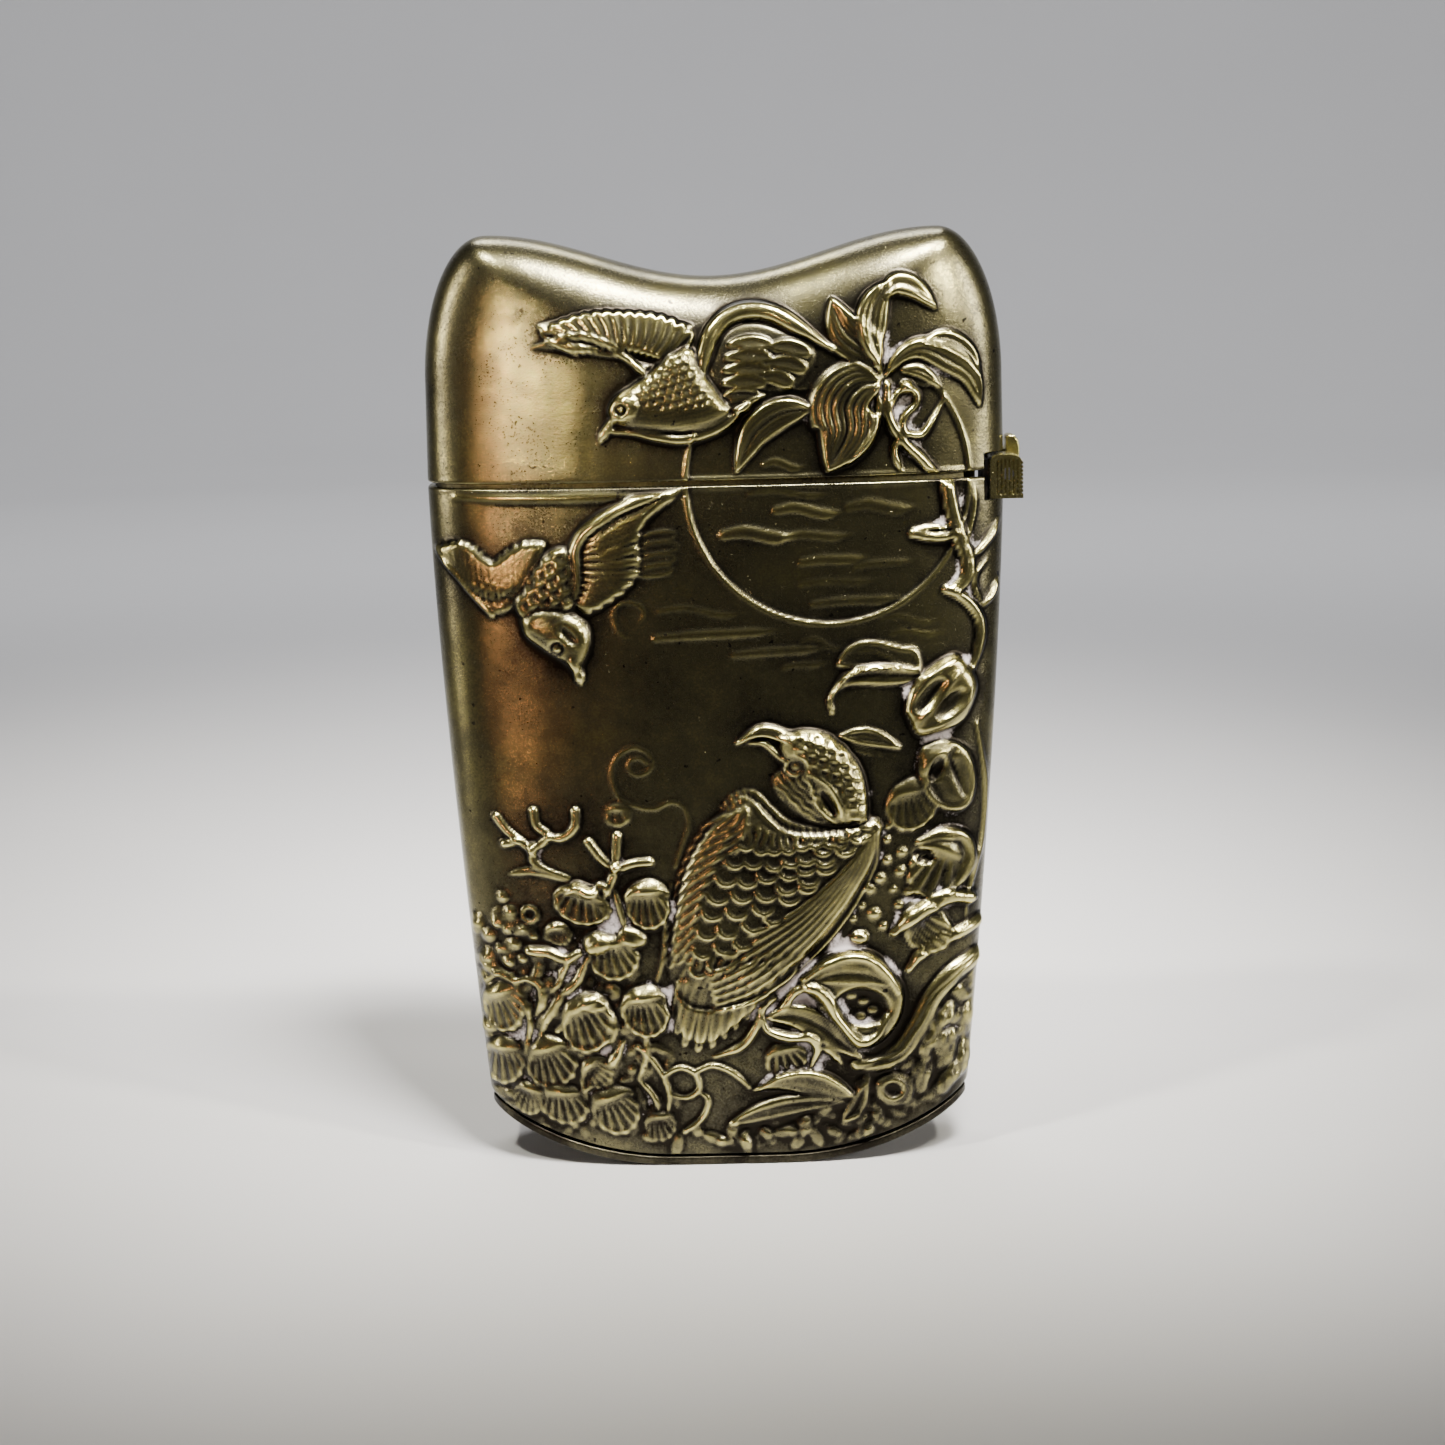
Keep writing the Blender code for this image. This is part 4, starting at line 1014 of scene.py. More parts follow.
def draw_left_plants(relief):
    """Twigs, curled round leaves and berries at the lower left."""
    relief.litter(
        [(-17.0, 18.0), (-10.0, 16.0), (-4.0, 12.0), (-3.4, 3.0), (-12.0, 2.0), (-16.6, 5.0)], 330,
        0.36, 0.10,
    )
    # stems first, so that the leaves lie over them
    relief.ridge([(-9.2, 14.6), (-10.0, 12.9), (-11.0, 11.9), (-12.0, 10.4), (-12.6, 9.0)], 0.75, 0.38)
    relief.ridge([(-10.2, 14.7), (-10.9, 13.6), (-11.2, 12.8), (-12.0, 12.0)], 0.5, 0.36)
    vines = [
        [(-5.4, 9.4), (-5.5, 7.6), (-6.0, 6.2)],
        [(-6.0, 8.4), (-5.2, 7.6), (-4.4, 6.4), (-4.0, 5.0), (-4.2, 3.4)],
        [(-4.4, 6.4), (-3.2, 6.9), (-2.2, 6.4), (-2.0, 5.4), (-2.8, 4.8), (-3.8, 5.0)],
        [(-2.2, 6.6), (-1.0, 7.0), (0.4, 6.4), (1.4, 5.4)],
        [(-3.0, 2.4), (-1.8, 3.4), (-1.4, 4.6), (-2.0, 5.2)],
        [(-14.4, 13.2), (-13.3, 10.4), (-13.5, 8.4), (-14.2, 6.0)],
        [(-12.6, 9.2), (-11.0, 8.6), (-9.6, 8.2), (-8.6, 8.6)],
        [(-11.4, 9.4), (-10.6, 10.6), (-10.8, 12.0)],
        [(-9.2, 7.8), (-9.8, 6.0), (-9.6, 4.2), (-10.4, 2.8)],
        [(-16.2, 12.6), (-15.2, 13.2), (-14.2, 12.8), (-13.0, 13.2)],
    ]
    for vine in vines:
        relief.ridge(vine, 0.42, 0.28, ends=(0.9, 0.5))
    relief.ridge([(-7.0, 8.8), (-7.7, 7.4), (-8.9, 6.2), (-9.8, 5.0)], 0.65, 0.38)
    relief.ridge([(-6.0, 6.1), (-5.1, 5.0), (-4.6, 3.7)], 0.4, 0.28)
    relief.ridge([(-3.5, 19.6), (-3.9, 17.2), (-4.2, 14.4), (-4.8, 12.4)], 0.34, 0.18, under=0.9)
    relief.ridge([(-7.3, 19.2), (-6.8, 17.4), (-6.6, 16.2)], 0.5, 0.3)
    # twigs with rounded tips, drawn in raised edges
    twigs = [
        [(-15.0, 24.1), (-14.3, 23.2), (-13.4, 22.5), (-12.6, 21.8)],
        [(-12.5, 24.6), (-12.3, 23.6), (-11.6, 22.9), (-12.5, 22.0)],
        [(-9.7, 24.6), (-9.8, 23.5), (-10.6, 22.8), (-11.5, 22.8)],
        [(-12.6, 22.2), (-12.6, 21.2), (-11.8, 20.5), (-10.4, 20.0)],
        [(-14.5, 22.3), (-13.6, 22.5)],
        [(-8.9, 22.5), (-8.1, 21.4), (-7.3, 20.7)],
        [(-7.0, 22.9), (-7.1, 21.7), (-7.2, 20.9)],
        [(-4.9, 21.1), (-6.0, 21.0), (-7.1, 20.6)],
        [(-7.1, 20.9), (-7.4, 20.0), (-7.9, 18.9)],
    ]
    for twig in twigs:
        relief.ridge(twig, 0.55, 0.28, ends=(1.0, 0.8), under=0.8, flat=4.0, edges=0.10)
    relief.blade([(-14.3, 20.2), (-12.8, 20.5), (-11.2, 20.2), (-9.4, 19.4)], 0.6, 0.28, ribs=0, belly=0.4)
    # little bell on a tendril
    relief.shell((-6.9, 24.3), (0.85, 0.95), 0.26, -100, ribs=4, rib=0.08, crown=0.2)
    relief.ring((-6.9, 24.3), 0.62, 0.2, 0.10)
    tendril = [
        (-4.8, 27.7), (-5.3, 28.1), (-5.9, 28.0), (-6.1, 27.5), (-5.7, 27.0), (-5.0, 27.1),
        (-4.5, 27.7), (-4.9, 28.5), (-5.8, 28.8), (-6.8, 28.2), (-7.2, 27.3), (-7.1, 26.2),
        (-6.6, 25.3), (-5.4, 24.8), (-4.4, 24.7), (-3.5, 25.1), (-2.7, 24.9), (-2.3, 24.2),
        (-2.3, 23.3), (-2.7, 22.2), (-3.2, 20.7),
    ]
    relief.ridge(tendril, 0.26, 0.11, ends=(0.8, 0.8), under=0.9)
    relief.groove(tendril, 0.08, 0.05)
    # curled round leaves, each as centre, radii, height and the way its fan opens
    leaves = [
        ((-15.0, 10.9), (1.9, 1.6), 0.55, -80), ((-15.2, 7.1), (1.8, 1.6), 0.55, -100),
        ((-11.9, 7.2), (2.0, 1.8), 0.60, -85), ((-11.2, 4.3), (1.6, 1.8), 0.50, -100),
        ((-7.6, 4.0), (1.8, 1.8), 0.55, -80), ((-13.6, 4.6), (1.3, 1.2), 0.42, -120),
        ((-8.9, 6.6), (1.3, 1.1), 0.45, -60), ((-4.6, 2.9), (1.1, 1.2), 0.35, -90),
        ((-9.3, 10.1), (2.3, 1.8), 0.75, -78), ((-5.5, 10.8), (1.95, 1.7), 0.75, -95),
        ((-5.2, 18.2), (1.75, 1.65), 0.65, -100), ((-9.5, 18.2), (1.45, 2.0), 0.62, -118),
        ((-7.4, 14.7), (1.6, 1.9), 0.55, -92), ((-11.1, 16.2), (0.9, 0.9), 0.40, -90),
    ]
    for centre, radii, height, angle in leaves:
        relief.shell(centre, radii, height, angle, ribs=9, rib=0.13, crown=0.40)
    relief.dome((-8.5, 15.6), (1.0, 0.85), 0.55, angle=20, under=0.5)
    relief.dome((-6.2, 16.0), (1.05, 0.7), 0.50, angle=-20, under=0.5)
    relief.dome((-8.9, 11.5), (1.0, 0.7), 0.40, under=0.8)
    relief.ridge([(-8.1, 11.3), (-7.5, 10.2), (-7.8, 9.0), (-8.8, 8.2)], 0.5, 0.30, under=0.9)
    relief.ridge(
        [(-10.4, 19.0), (-9.7, 19.6), (-8.9, 19.1), (-8.1, 19.5), (-7.5, 18.8)], 0.7, 0.30, under=1.0,
    )
    relief.ridge([(-13.1, 15.0), (-11.8, 14.9), (-10.7, 14.5), (-9.8, 14.9)], 0.8, 0.42, ends=(0.9, 0.7))
    relief.ridge([(-13.5, 13.0), (-12.6, 12.7), (-12.3, 11.6), (-12.9, 10.4)], 0.7, 0.34)
    berries = [
        (
            -14.8, 18.6,
        ), (-14.3, 17.6), (-15.3, 16.7), (-13.5, 16.5), (-15.9, 15.8), (-14.6, 16.4), (-15.2, 15.0),
        (-14.1, 15.4), (-16.0, 14.2), (-12.8, 16.0), (-14.6, 14.1), (-15.4, 13.3), (-13.6, 14.4),
    ]
    for index, (x, z) in enumerate(berries):
        size = 0.42 + 0.1 * math.sin(index * 1.9)
        relief.dome((x, z), (size, size), 0.28, under=0.7)
        relief.ring((x, z), size * 0.65, 0.16, 0.07)
    relief.ring((-13.0, 17.5), 0.5, 0.3, 0.22)
    relief.dust(
        [
            (-11.9, 21.4, 1.1, 1.0), (-7.0, 20.9, 0.9, 0.9), (-7.4, 17.4, 1.4, 1.3),
            (-10.4, 14.8, 1.6, 1.2), (-11.4, 12.2, 1.9, 1.2), (-14.4, 17.0, 1.6, 0.8),
            (-8.2, 12.8, 1.2, 0.8), (-5.0, 13.6, 1.4, 1.1), (-7.7, 8.2, 1.4, 1.0),
            (-10.4, 7.8, 1.8, 1.0), (-13.6, 9.0, 1.8, 1.0), (-13.6, 5.6, 1.7, 0.8),
            (-9.4, 3.4, 1.6, 0.9), (-8.8, 5.6, 1.3, 1.1), (-6.0, 4.4, 1.2, 1.2), (-3.6, 9.8, 0.9, 1.2),
            (-4.0, 18.2, 0.8, 1.1),
        ],
    )


def draw_right_foot(relief):
    """Curled leaves and a knotted branch at the lower right."""
    relief.litter(
        [
            (17.0, 13.0), (14.0, 9.0), (9.0, 6.0), (3.0, 3.0), (-2.0, 1.2), (8.0, 1.6), (14.0, 4.0),
            (16.8, 6.0),
        ],
        380, 0.36, 0.11,
    )
    relief.ridge(
        [(16.8, 13.4), (15.2, 12.6), (13.9, 11.2), (12.9, 9.4), (11.8, 7.8), (10.4, 6.9), (8.6, 6.8)],
        1.45, 0.52, ends=(0.9, 0.6),
    )
    relief.hatch(
        [
            (16.8, 14.0), (13.8, 12.0), (11.4, 8.6), (9.0, 7.2), (9.4, 6.2), (12.6, 7.6), (15.0, 10.8),
            (17.0, 12.6),
        ],
        [(16.8, 13.4), (13.9, 11.2), (11.8, 7.8), (8.8, 6.8)], 0.45, 0.14,
    )
    relief.ridge(
        [(17.0, 15.9), (15.6, 15.4), (14.2, 15.0), (13.0, 14.2), (12.2, 13.2)], 0.95, 0.48,
        ends=(0.9, 0.5),
    )
    # rolled leaf above
    relief.shell((13.4, 16.0), (2.3, 1.5), 0.52, -55, ribs=8, rib=0.12, crown=0.2)
    relief.ridge(
        [(16.4, 17.7), (15.0, 18.0), (13.5, 17.5), (12.2, 16.7), (11.2, 15.8)], 1.15, 0.62, under=0.7,
        ends=(0.8, 0.5),
    )
    # big curled leaf with its open mouth
    relief.pad(
        [
            (4.9, 13.0), (6.4, 14.2), (8.0, 14.8), (9.6, 14.6), (10.8, 13.6), (11.8, 12.0),
            (11.6, 10.0), (10.4, 8.4), (8.8, 7.8), (7.4, 8.6), (6.4, 10.4), (5.4, 11.6),
        ],
        0.62, 0.8,
    )
    relief.dome((9.0, 10.9), (1.9, 1.35), -0.55, angle=-10, under=1.0)
    relief.blade(
        [(5.9, 12.9), (7.6, 13.3), (9.4, 13.1), (10.9, 12.3)], 1.7, 0.22, ribs=5, rib=0.10, under=1.0,
        rim=0.06,
    )
    relief.ridge(
        [(4.9, 12.8), (6.5, 14.0), (8.1, 14.5), (9.6, 14.2), (10.7, 13.1), (11.4, 11.8)], 0.82, 0.40,
        under=0.95, ends=(0.6, 0.5),
    )
    relief.ridge(
        [
            (3.8, 11.0), (4.6, 12.1), (5.9, 12.3), (6.8, 11.4), (7.4, 10.1), (8.0, 9.1), (9.0, 8.5),
            (10.0, 9.0), (10.6, 10.2),
        ],
        0.92, 0.62, under=0.7, ends=(0.7, 0.4),
    )
    relief.groove([(4.6, 11.2), (5.6, 11.5), (6.3, 11.0)], 0.3, 0.2)
    for x, z in [(8.3, 11.6), (9.1, 11.2), (9.7, 10.6), (8.9, 10.2)]:
        relief.dome((x, z), (0.4, 0.3), 0.16, under=1.0)
    # long low leaves
    relief.blade(
        [(2.6, 10.3), (4.4, 10.4), (6.0, 9.7), (7.4, 8.5), (9.0, 7.2)], 2.0, 0.50, ribs=4, rib=0.14,
        rim=0.10,
    )
    relief.ridge(
        [(2.4, 10.2), (2.7, 9.4), (4.0, 8.9), (5.4, 8.8), (6.0, 8.0), (5.5, 6.7)], 0.72, 0.55,
        under=0.8,
    )
    relief.shell((3.9, 7.3), (1.3, 1.5), 0.42, -90, ribs=7, rib=0.16, crown=0.1)
    relief.ridge([(6.2, 8.2), (7.0, 7.7), (7.6, 6.9)], 0.6, 0.36)
    relief.blade(
        [(1.6, 5.2), (3.6, 5.8), (5.8, 5.6), (8.4, 4.6)], 1.9, 0.62, ribs=1, rib=0.05, lean=0.4,
        belly=0.6, midrib=0.0,
    )
    relief.blade([(0.0, 2.9), (2.7, 3.8), (5.0, 4.2), (7.9, 4.3)], 1.5, 0.40, ribs=2, rib=0.10, lean=0.3)
    relief.blade([(7.6, 2.9), (8.5, 3.9), (9.3, 5.6)], 1.3, 0.45, ribs=3, rib=0.12)
    relief.dome((11.2, 4.9), (1.3, 1.2), 0.50)
    relief.dome((11.0, 4.9), (0.7, 0.62), -0.42, under=1.0)
    relief.ring((11.1, 4.9), 0.95, 0.4, 0.14)
    for index in range(16):
        x = 13.0 + 1.1 * (index % 4) + 0.5 * math.sin(index * 1.7)
        z = 4.9 + 1.35 * (index // 4) + 0.35 * math.cos(index * 2.3) + 0.3 * (index % 4)
        turn = 75 + 25 * math.sin(index * 3.1)
        relief.dome((x, z), (0.95, 0.55), 0.24 + 0.08 * math.sin(index), angle=turn, under=0.6, seam=0.06)
    relief.ridge([(3.2, 11.6), (2.4, 10.9), (1.9, 9.6), (0.9, 8.3), (-0.9, 7.6)], 0.62, 0.34)
    for index, x in enumerate(np.arange(-5.2, 10.4, 0.95)):
        place = (x + 0.4 * math.sin(index * 5.1), float(base_height(x)) + 2.0 + 0.6 * math.sin(index * 2.4))
        relief.dome(place, (0.75 + 0.25 * math.sin(index * 3.7), 0.42), 0.20, angle=index * 40, under=0.9)
    relief.dust(
        [
            (5.2, 13.4, 1.3, 1.2), (8.0, 14.9, 1.6, 1.2), (10.8, 13.2, 1.1, 1.1), (4.8, 11.4, 1.4, 1.4),
            (7.0, 10.6, 1.2, 1.2), (8.8, 9.0, 1.5, 1.4), (5.2, 8.9, 1.2, 1.2), (6.0, 7.2, 1.0, 1.1),
            (2.6, 6.2, 1.3, 1.2), (5.0, 6.2, 1.3, 1.1), (2.4, 10.6, 1.1, 1.3), (13.2, 15.4, 1.6, 0.9),
            (14.6, 18.4, 1.5, 1.2), (14.4, 13.4, 1.4, 0.8), (15.0, 8.6, 1.9, 0.9),
            (11.8, 5.6, 1.3, 0.9), (11.4, 16.4, 1.1, 1.0),
        ],
    )


def front_relief():
    relief = Relief(seed=11)
    draw_moon(relief)
    draw_clouds(relief)
    draw_branch(relief)
    draw_lid_foliage(relief)
    draw_lid_bird(relief)
    draw_diving_bird(relief)
    draw_right_column(relief)
    draw_right_foot(relief)
    draw_left_plants(relief)
    draw_quail(relief)
    relief.ridge([(-17.0, 45.35), (-12.0, 45.25), (-6.0, 45.3), (-3.0, 45.35)], 0.7, 0.16, under=1.0)
    return relief


def back_relief():
    """The unseen back, in the same manner: a flowering branch rising from grasses, with clouds."""
    relief = Relief(seed=29)
    draw_back_branch(relief)
    draw_back_foot(relief)
    bars = [
        ((-12.0, 42.0), 5.0, 0.9), ((-7.5, 40.7), 4.5, 0.8), ((-13.5, 39.6), 3.6, 0.7),
        ((9.5, 36.0), 5.0, 0.8), ((12.5, 34.8), 3.8, 0.7),
    ]
    for (x, z), length, width in bars:
        relief.ridge(
            [(x - length / 2, z), (x, z + 0.2), (x + length / 2, z - 0.1)], width, 0.16, under=0.9,
            flat=3.0,
        )
    return relief


def draw_back_branch(relief):
    trunk = [
        (-12.6, 4.6), (-11.2, 8.6), (-11.8, 13.0), (-9.4, 17.2), (-6.2, 20.6), (-5.2, 25.2),
        (-1.8, 29.0), (1.4, 33.6), (2.2, 38.6), (4.8, 43.4), (7.4, 47.6), (10.6, 51.0), (12.0, 54.6),
    ]
    twigs = [
        [(-9.4, 17.2), (-12.2, 20.6), (-13.4, 25.0)],
        [(-6.2, 20.6), (-2.2, 21.6), (1.6, 20.6), (5.4, 21.4)],
        [(-5.2, 25.2), (-8.4, 28.4), (-11.8, 30.0)],
        [(-1.8, 29.0), (3.2, 28.8), (7.4, 30.4), (10.8, 29.6)],
        [(1.4, 33.6), (-2.6, 36.2), (-4.0, 39.8)],
        [(4.8, 43.4), (9.2, 42.8), (13.4, 44.6)],
        [(7.4, 47.6), (3.6, 50.2), (-0.8, 51.0), (-5.2, 53.0)],
        [(10.6, 51.0), (14.6, 51.2)],
    ]
    for twig in twigs:
        relief.ridge(twig, 0.75, 0.50, ends=(0.9, 0.4))
    relief.ridge(trunk, 1.35, 0.80, ends=(0.9, 0.35))
    relief.groove(trunk, 0.25, 0.14)
    for line in twigs:
        path = resample(line, 5)
        for first, second, side in zip(path, path[1:], (1, -1, 1, -1)):
            run = (second - first) / np.linalg.norm(second - first)
            out = np.array([-run[1], run[0]]) * side
            base = (first + second) / 2
            relief.blade(
                [base, base + out * 1.3 + run * 0.8, base + out * 2.2 + run * 2.2], 1.35, 0.65, ribs=3,
                rib=0.09, lean=0.2 * side,
            )
    blooms = [
        (-13.4, 25.6, 1.7), (5.9, 21.3, 1.9), (-12.0, 30.4, 1.8), (11.2, 29.6, 1.8), (-4.2, 40.4, 1.7),
        (13.4, 42.8, 1.6), (-5.6, 53.2, 1.6), (-1.0, 50.8, 1.3), (0.9, 21.0, 1.3), (7.2, 31.0, 1.4),
        (12.0, 54.8, 1.5), (-7.4, 18.6, 1.5), (2.4, 38.0, 1.5),
    ]
    for turn, (x, z, radius) in enumerate(blooms):
        relief.flower((x, z), radius, 5, 0.75, turn=turn * 31, rays=0.05, core=0.28)
        for angle in np.radians(np.arange(0, 360, 60)):
            relief.dome(
                (x + 0.45 * math.cos(angle), z + 0.45 * math.sin(angle)), (0.13, 0.13), 0.10, under=1.0,
            )
        relief.dust([(x, z - radius, 1.0, 0.9)])
    for x, z in [
        (-13.0, 22.6), (3.6, 22.2), (9.4, 31.4), (-2.4, 35.2), (11.4, 44.6), (3.0, 51.4), (14.8, 51.4),
        (-9.6, 29.8),
    ]:
        relief.dome((x, z), (0.5, 0.62), 0.5)


def draw_back_foot(relief):
    for index, x in enumerate(np.arange(-13.0, 14.5, 1.5)):
        lean = 1.6 * math.sin(index * 2.1)
        height = 5.5 + 2.2 * math.sin(index * 1.3)
        foot = float(base_height(x)) + 1.0
        relief.blade(
            [(x, foot), (x + lean * 0.4, foot + height * 0.5), (x + lean, foot + height)], 1.2, 0.50,
            belly=0.35, ribs=1, rib=0.06,
        )
        relief.dust([(x, foot + 1.2, 1.2, 0.8)])
    for x, z, radius, petals in [
        (-9.6, 6.2, 1.7, 7), (-4.6, 4.6, 1.6, 6), (0.8, 5.2, 1.8, 8), (6.0, 4.8, 1.7, 7),
        (10.8, 7.0, 1.8, 6), (12.9, 12.4, 1.5, 5), (3.6, 9.4, 1.5, 5), (-3.2, 9.2, 1.4, 5),
    ]:
        relief.flower((x, z), radius, petals, 0.8, turn=x * 17, rays=0.10)
        relief.dust([(x, z, radius * 1.3, 0.8)])


# ---------------------------------------------------------------- meshes


def polar_section(angle):
    """Across (-1 to 1) and depth (0 to 1) of the rounded half section, turning from left to right."""
    across = -np.cos(angle)
    depth = np.sin(angle)
    size = (np.abs(across) ** SECTION_POWER + depth**SECTION_POWER) ** (1 / SECTION_POWER)
    return across / size, depth / size


def even_shares(path, gap):
    """Shares from 0 to 1 that put grid lines gap apart along a finely sampled path."""
    steps = np.linalg.norm(np.diff(path, axis=0), axis=1)
    load = np.concatenate([[0.0], np.cumsum(steps / ((gap[1:] + gap[:-1]) / 2))])
    count = int(math.ceil(load[-1])) + 1
    return np.interp(np.linspace(0.0, load[-1], count), load, np.linspace(0.0, 1.0, len(path)))


def rim_gap(distance, gap):
    """Grid spacing that tightens within a few tenths of a rim."""
    return np.minimum(gap, 0.05 + 0.35 * distance)


def sample(relief_map, relief, x, z):
    """Bilinear reading of a map at places on the face."""
    u = np.clip((x - relief.LOW[0]) / relief.PITCH, 0, relief_map.shape[0] - 1.001)
    v = np.clip((z - relief.LOW[1]) / relief.PITCH, 0, relief_map.shape[1] - 1.001)
    i = u.astype(int)
    j = v.astype(int)
    a = u - i
    b = v - j
    low = relief_map[i, j] * (1 - a) + relief_map[i + 1, j] * a
    high = relief_map[i, j + 1] * (1 - a) + relief_map[i + 1, j + 1] * a
    return low * (1 - b) + high * b


def wobble(x, z):
    """The slight unevenness of hand-pressed sheet."""
    broad = 0.020 * np.sin(0.71 * x + 0.43 * z + 0.6) * np.sin(0.38 * x - 0.57 * z)
    return broad + 0.008 * np.sin(1.9 * x + 0.9 * z) * np.sin(1.3 * z - 0.8 * x)


def grid_normals(points, outward):
    """Unit normals of a grid of points, pointing to the side outward does."""
    along = np.gradient(points, axis=0)
    up = np.gradient(points, axis=1)
    normal = np.cross(along, up)
    normal /= np.maximum(1e-12, np.linalg.norm(normal, axis=2, keepdims=True))
    middle = normal[normal.shape[0] // 2, normal.shape[1] // 2]
    return normal if np.dot(middle, outward) > 0 else -normal


def body_surface(shares, ups, side, inner):
    """Places on the body's wall: the outer face, or the inner one a sheet's thickness in."""
    across, depth = polar_section(math.pi * shares[:, None])
    foot = base_height(CORNER_HALF_WIDTH * across) + BODY_LIFT
    z = foot + (SEAM - SEAM_CLEARANCE - foot) * ups[None, :]
    half = body_half_width(z) - SHEET * inner
    y = HAIRLINE + depth * (HALF_DEPTH - HAIRLINE - SHEET * inner) + 0 * z
    return np.stack([half * across, side * y, z], axis=2)


def crest_line(shares):
    """The lid's outline over its shoulders and dip, evenly walked from left to right."""
    fine = np.linspace(0.0, math.pi, 4001)
    x, z = crest_point(math.pi - fine)
    run = np.concatenate([[0.0], np.cumsum(np.hypot(np.diff(x), np.diff(z)))])
    wanted = shares * run[-1]
    return np.interp(wanted, run, x), np.interp(wanted, run, z)


def lid_surface(shares, lefts, side, inner):
    """Places on the lid's wall, on lines from its mouth to its crest."""
    across, _ = polar_section(math.pi * shares)
    crest_x, crest_z = crest_line(shares)
    mouth = (SEAM + SEAM_CLEARANCE + SEAM_WIDENING * (1 + across) / 2)[:, None]
    left = lefts[None, :]
    x = crest_x[:, None] + (HALF_WIDTH * across - crest_x)[:, None] * left
    z = crest_z[:, None] + (mouth - crest_z[:, None]) * left
    x[[0, -1]] = np.sign(x[[0, -1]]) * lid_half_width(z[[0, -1]])
    depth = lid_depth(x, z)
    depth[[0, -1]] = 0.0
    depth[:, -1] = 0.0
    narrow = 1 - SHEET / HALF_WIDTH * inner
    lower = 1 - SHEET / (TOP - mouth) * inner
    y = HAIRLINE + depth * (1 - (HAIRLINE + SHEET * inner) / HALF_DEPTH)
    return np.stack([x * narrow, side * y, mouth + (z - mouth) * lower], axis=2)


def rim_roll(distance, radius=0.16):
    """How far a softened rim falls back from the face, at a distance from its edge."""
    inward = np.clip(radius - distance, 0.0, radius)
    return radius - np.sqrt(radius**2 - inward**2)


def shell_faces(columns, rows, inner_rows):
    """Faces of a closed shell: outer grid, inner grid with fewer rows, and the four rims."""
    outer = np.arange(columns * rows).reshape(columns, rows)
    inner = columns * rows + np.arange(columns * inner_rows).reshape(columns, inner_rows)
    faces = []
    for grid, turn in ((outer, 1), (inner, -1)):
        quads = np.stack(
            [grid[:-1, :-1], grid[1:, :-1], grid[1:, 1:], grid[:-1, 1:]], axis=2,
        ).reshape(-1, 4)
        faces.extend(quads[:, ::turn].tolist())
    for row, turn in ((0, -1), (-1, 1)):
        strip = np.stack([outer[:-1, row], outer[1:, row], inner[1:, row], inner[:-1, row]], axis=1)
        faces.extend(strip[:, ::turn].tolist())
    for column, turn in ((0, 1), (-1, -1)):
        faces.extend(zipped(outer[column], inner[column], turn))
    return faces


def zipped(first, second, turn):
    """Triangles between two rows of points with different counts."""
    faces = []
    i = j = 0
    while i < len(first) - 1 or j < len(second) - 1:
        ahead = (i + 1) / (len(first) - 1) <= (j + 1) / (len(second) - 1)
        if j == len(second) - 1 or (ahead and i < len(first) - 1):
            faces.append([int(first[i]), int(first[i + 1]), int(second[j])][::turn])
            i += 1
        else:
            faces.append([int(first[i]), int(second[j + 1]), int(second[j])][::turn])
            j += 1
    return faces


def add_mesh(name, points, faces, materials):
    """A smooth-shaded object from points in millimetres."""
    mesh = bpy.data.meshes.new(name)
    mesh.from_pydata((np.asarray(points) * MM).tolist(), [], faces)
    mesh.update()
    item = bpy.data.objects.new(name, mesh)
    bpy.context.scene.collection.objects.link(item)
    for material in materials:
        mesh.materials.append(material)
    return item


def face_outwards(mesh):
    form = bmesh.new()
    form.from_mesh(mesh)
    bmesh.ops.recalc_face_normals(form, faces=form.faces)
    form.to_mesh(mesh)
    form.free()


def finish_shading(item, sharp_degrees):
    item.data.shade_smooth()
    item.data.set_sharp_from_angle(angle=math.radians(sharp_degrees))


def apply_cuts(item, cutters):
    """Cuts boxes out of a closed mesh, then removes them."""
    for cutter in cutters:
        step = item.modifiers.new("cut", "BOOLEAN")
        step.operation = "DIFFERENCE"
        step.object = cutter
        step.solver = "MANIFOLD"
    bpy.context.view_layer.update()
    graph = bpy.context.evaluated_depsgraph_get()
    made = bpy.data.meshes.new_from_object(item.evaluated_get(graph))
    item.modifiers.clear()
    old = item.data
    item.data = made
    bpy.data.meshes.remove(old)
    for cutter in cutters:
        bpy.data.objects.remove(cutter, do_unlink=True)


def add_box(name, low, high):
    low = np.array(low)
    high = np.array(high)
    corners = [[(low, high)[(index >> axis) & 1][axis] for axis in range(3)] for index in range(8)]
    faces = [(0, 2, 3, 1), (4, 5, 7, 6), (0, 1, 5, 4), (2, 6, 7, 3), (0, 4, 6, 2), (1, 3, 7, 5)]
    return add_mesh(name, corners, faces, [])


def notch_cutter(z_low, z_high):
    low = (HINGE[0] - NOTCH_REACH, -NOTCH_HALF_LENGTH, z_low)
    high = (HINGE[0] + NOTCH_REACH, NOTCH_HALF_LENGTH, z_high)
    return add_box("notch_cutter", low, high)


def store(mesh, name, values):
    attribute = mesh.attributes.new(name, "FLOAT", "POINT")
    attribute.data.foreach_set("value", np.asarray(values, np.float32))


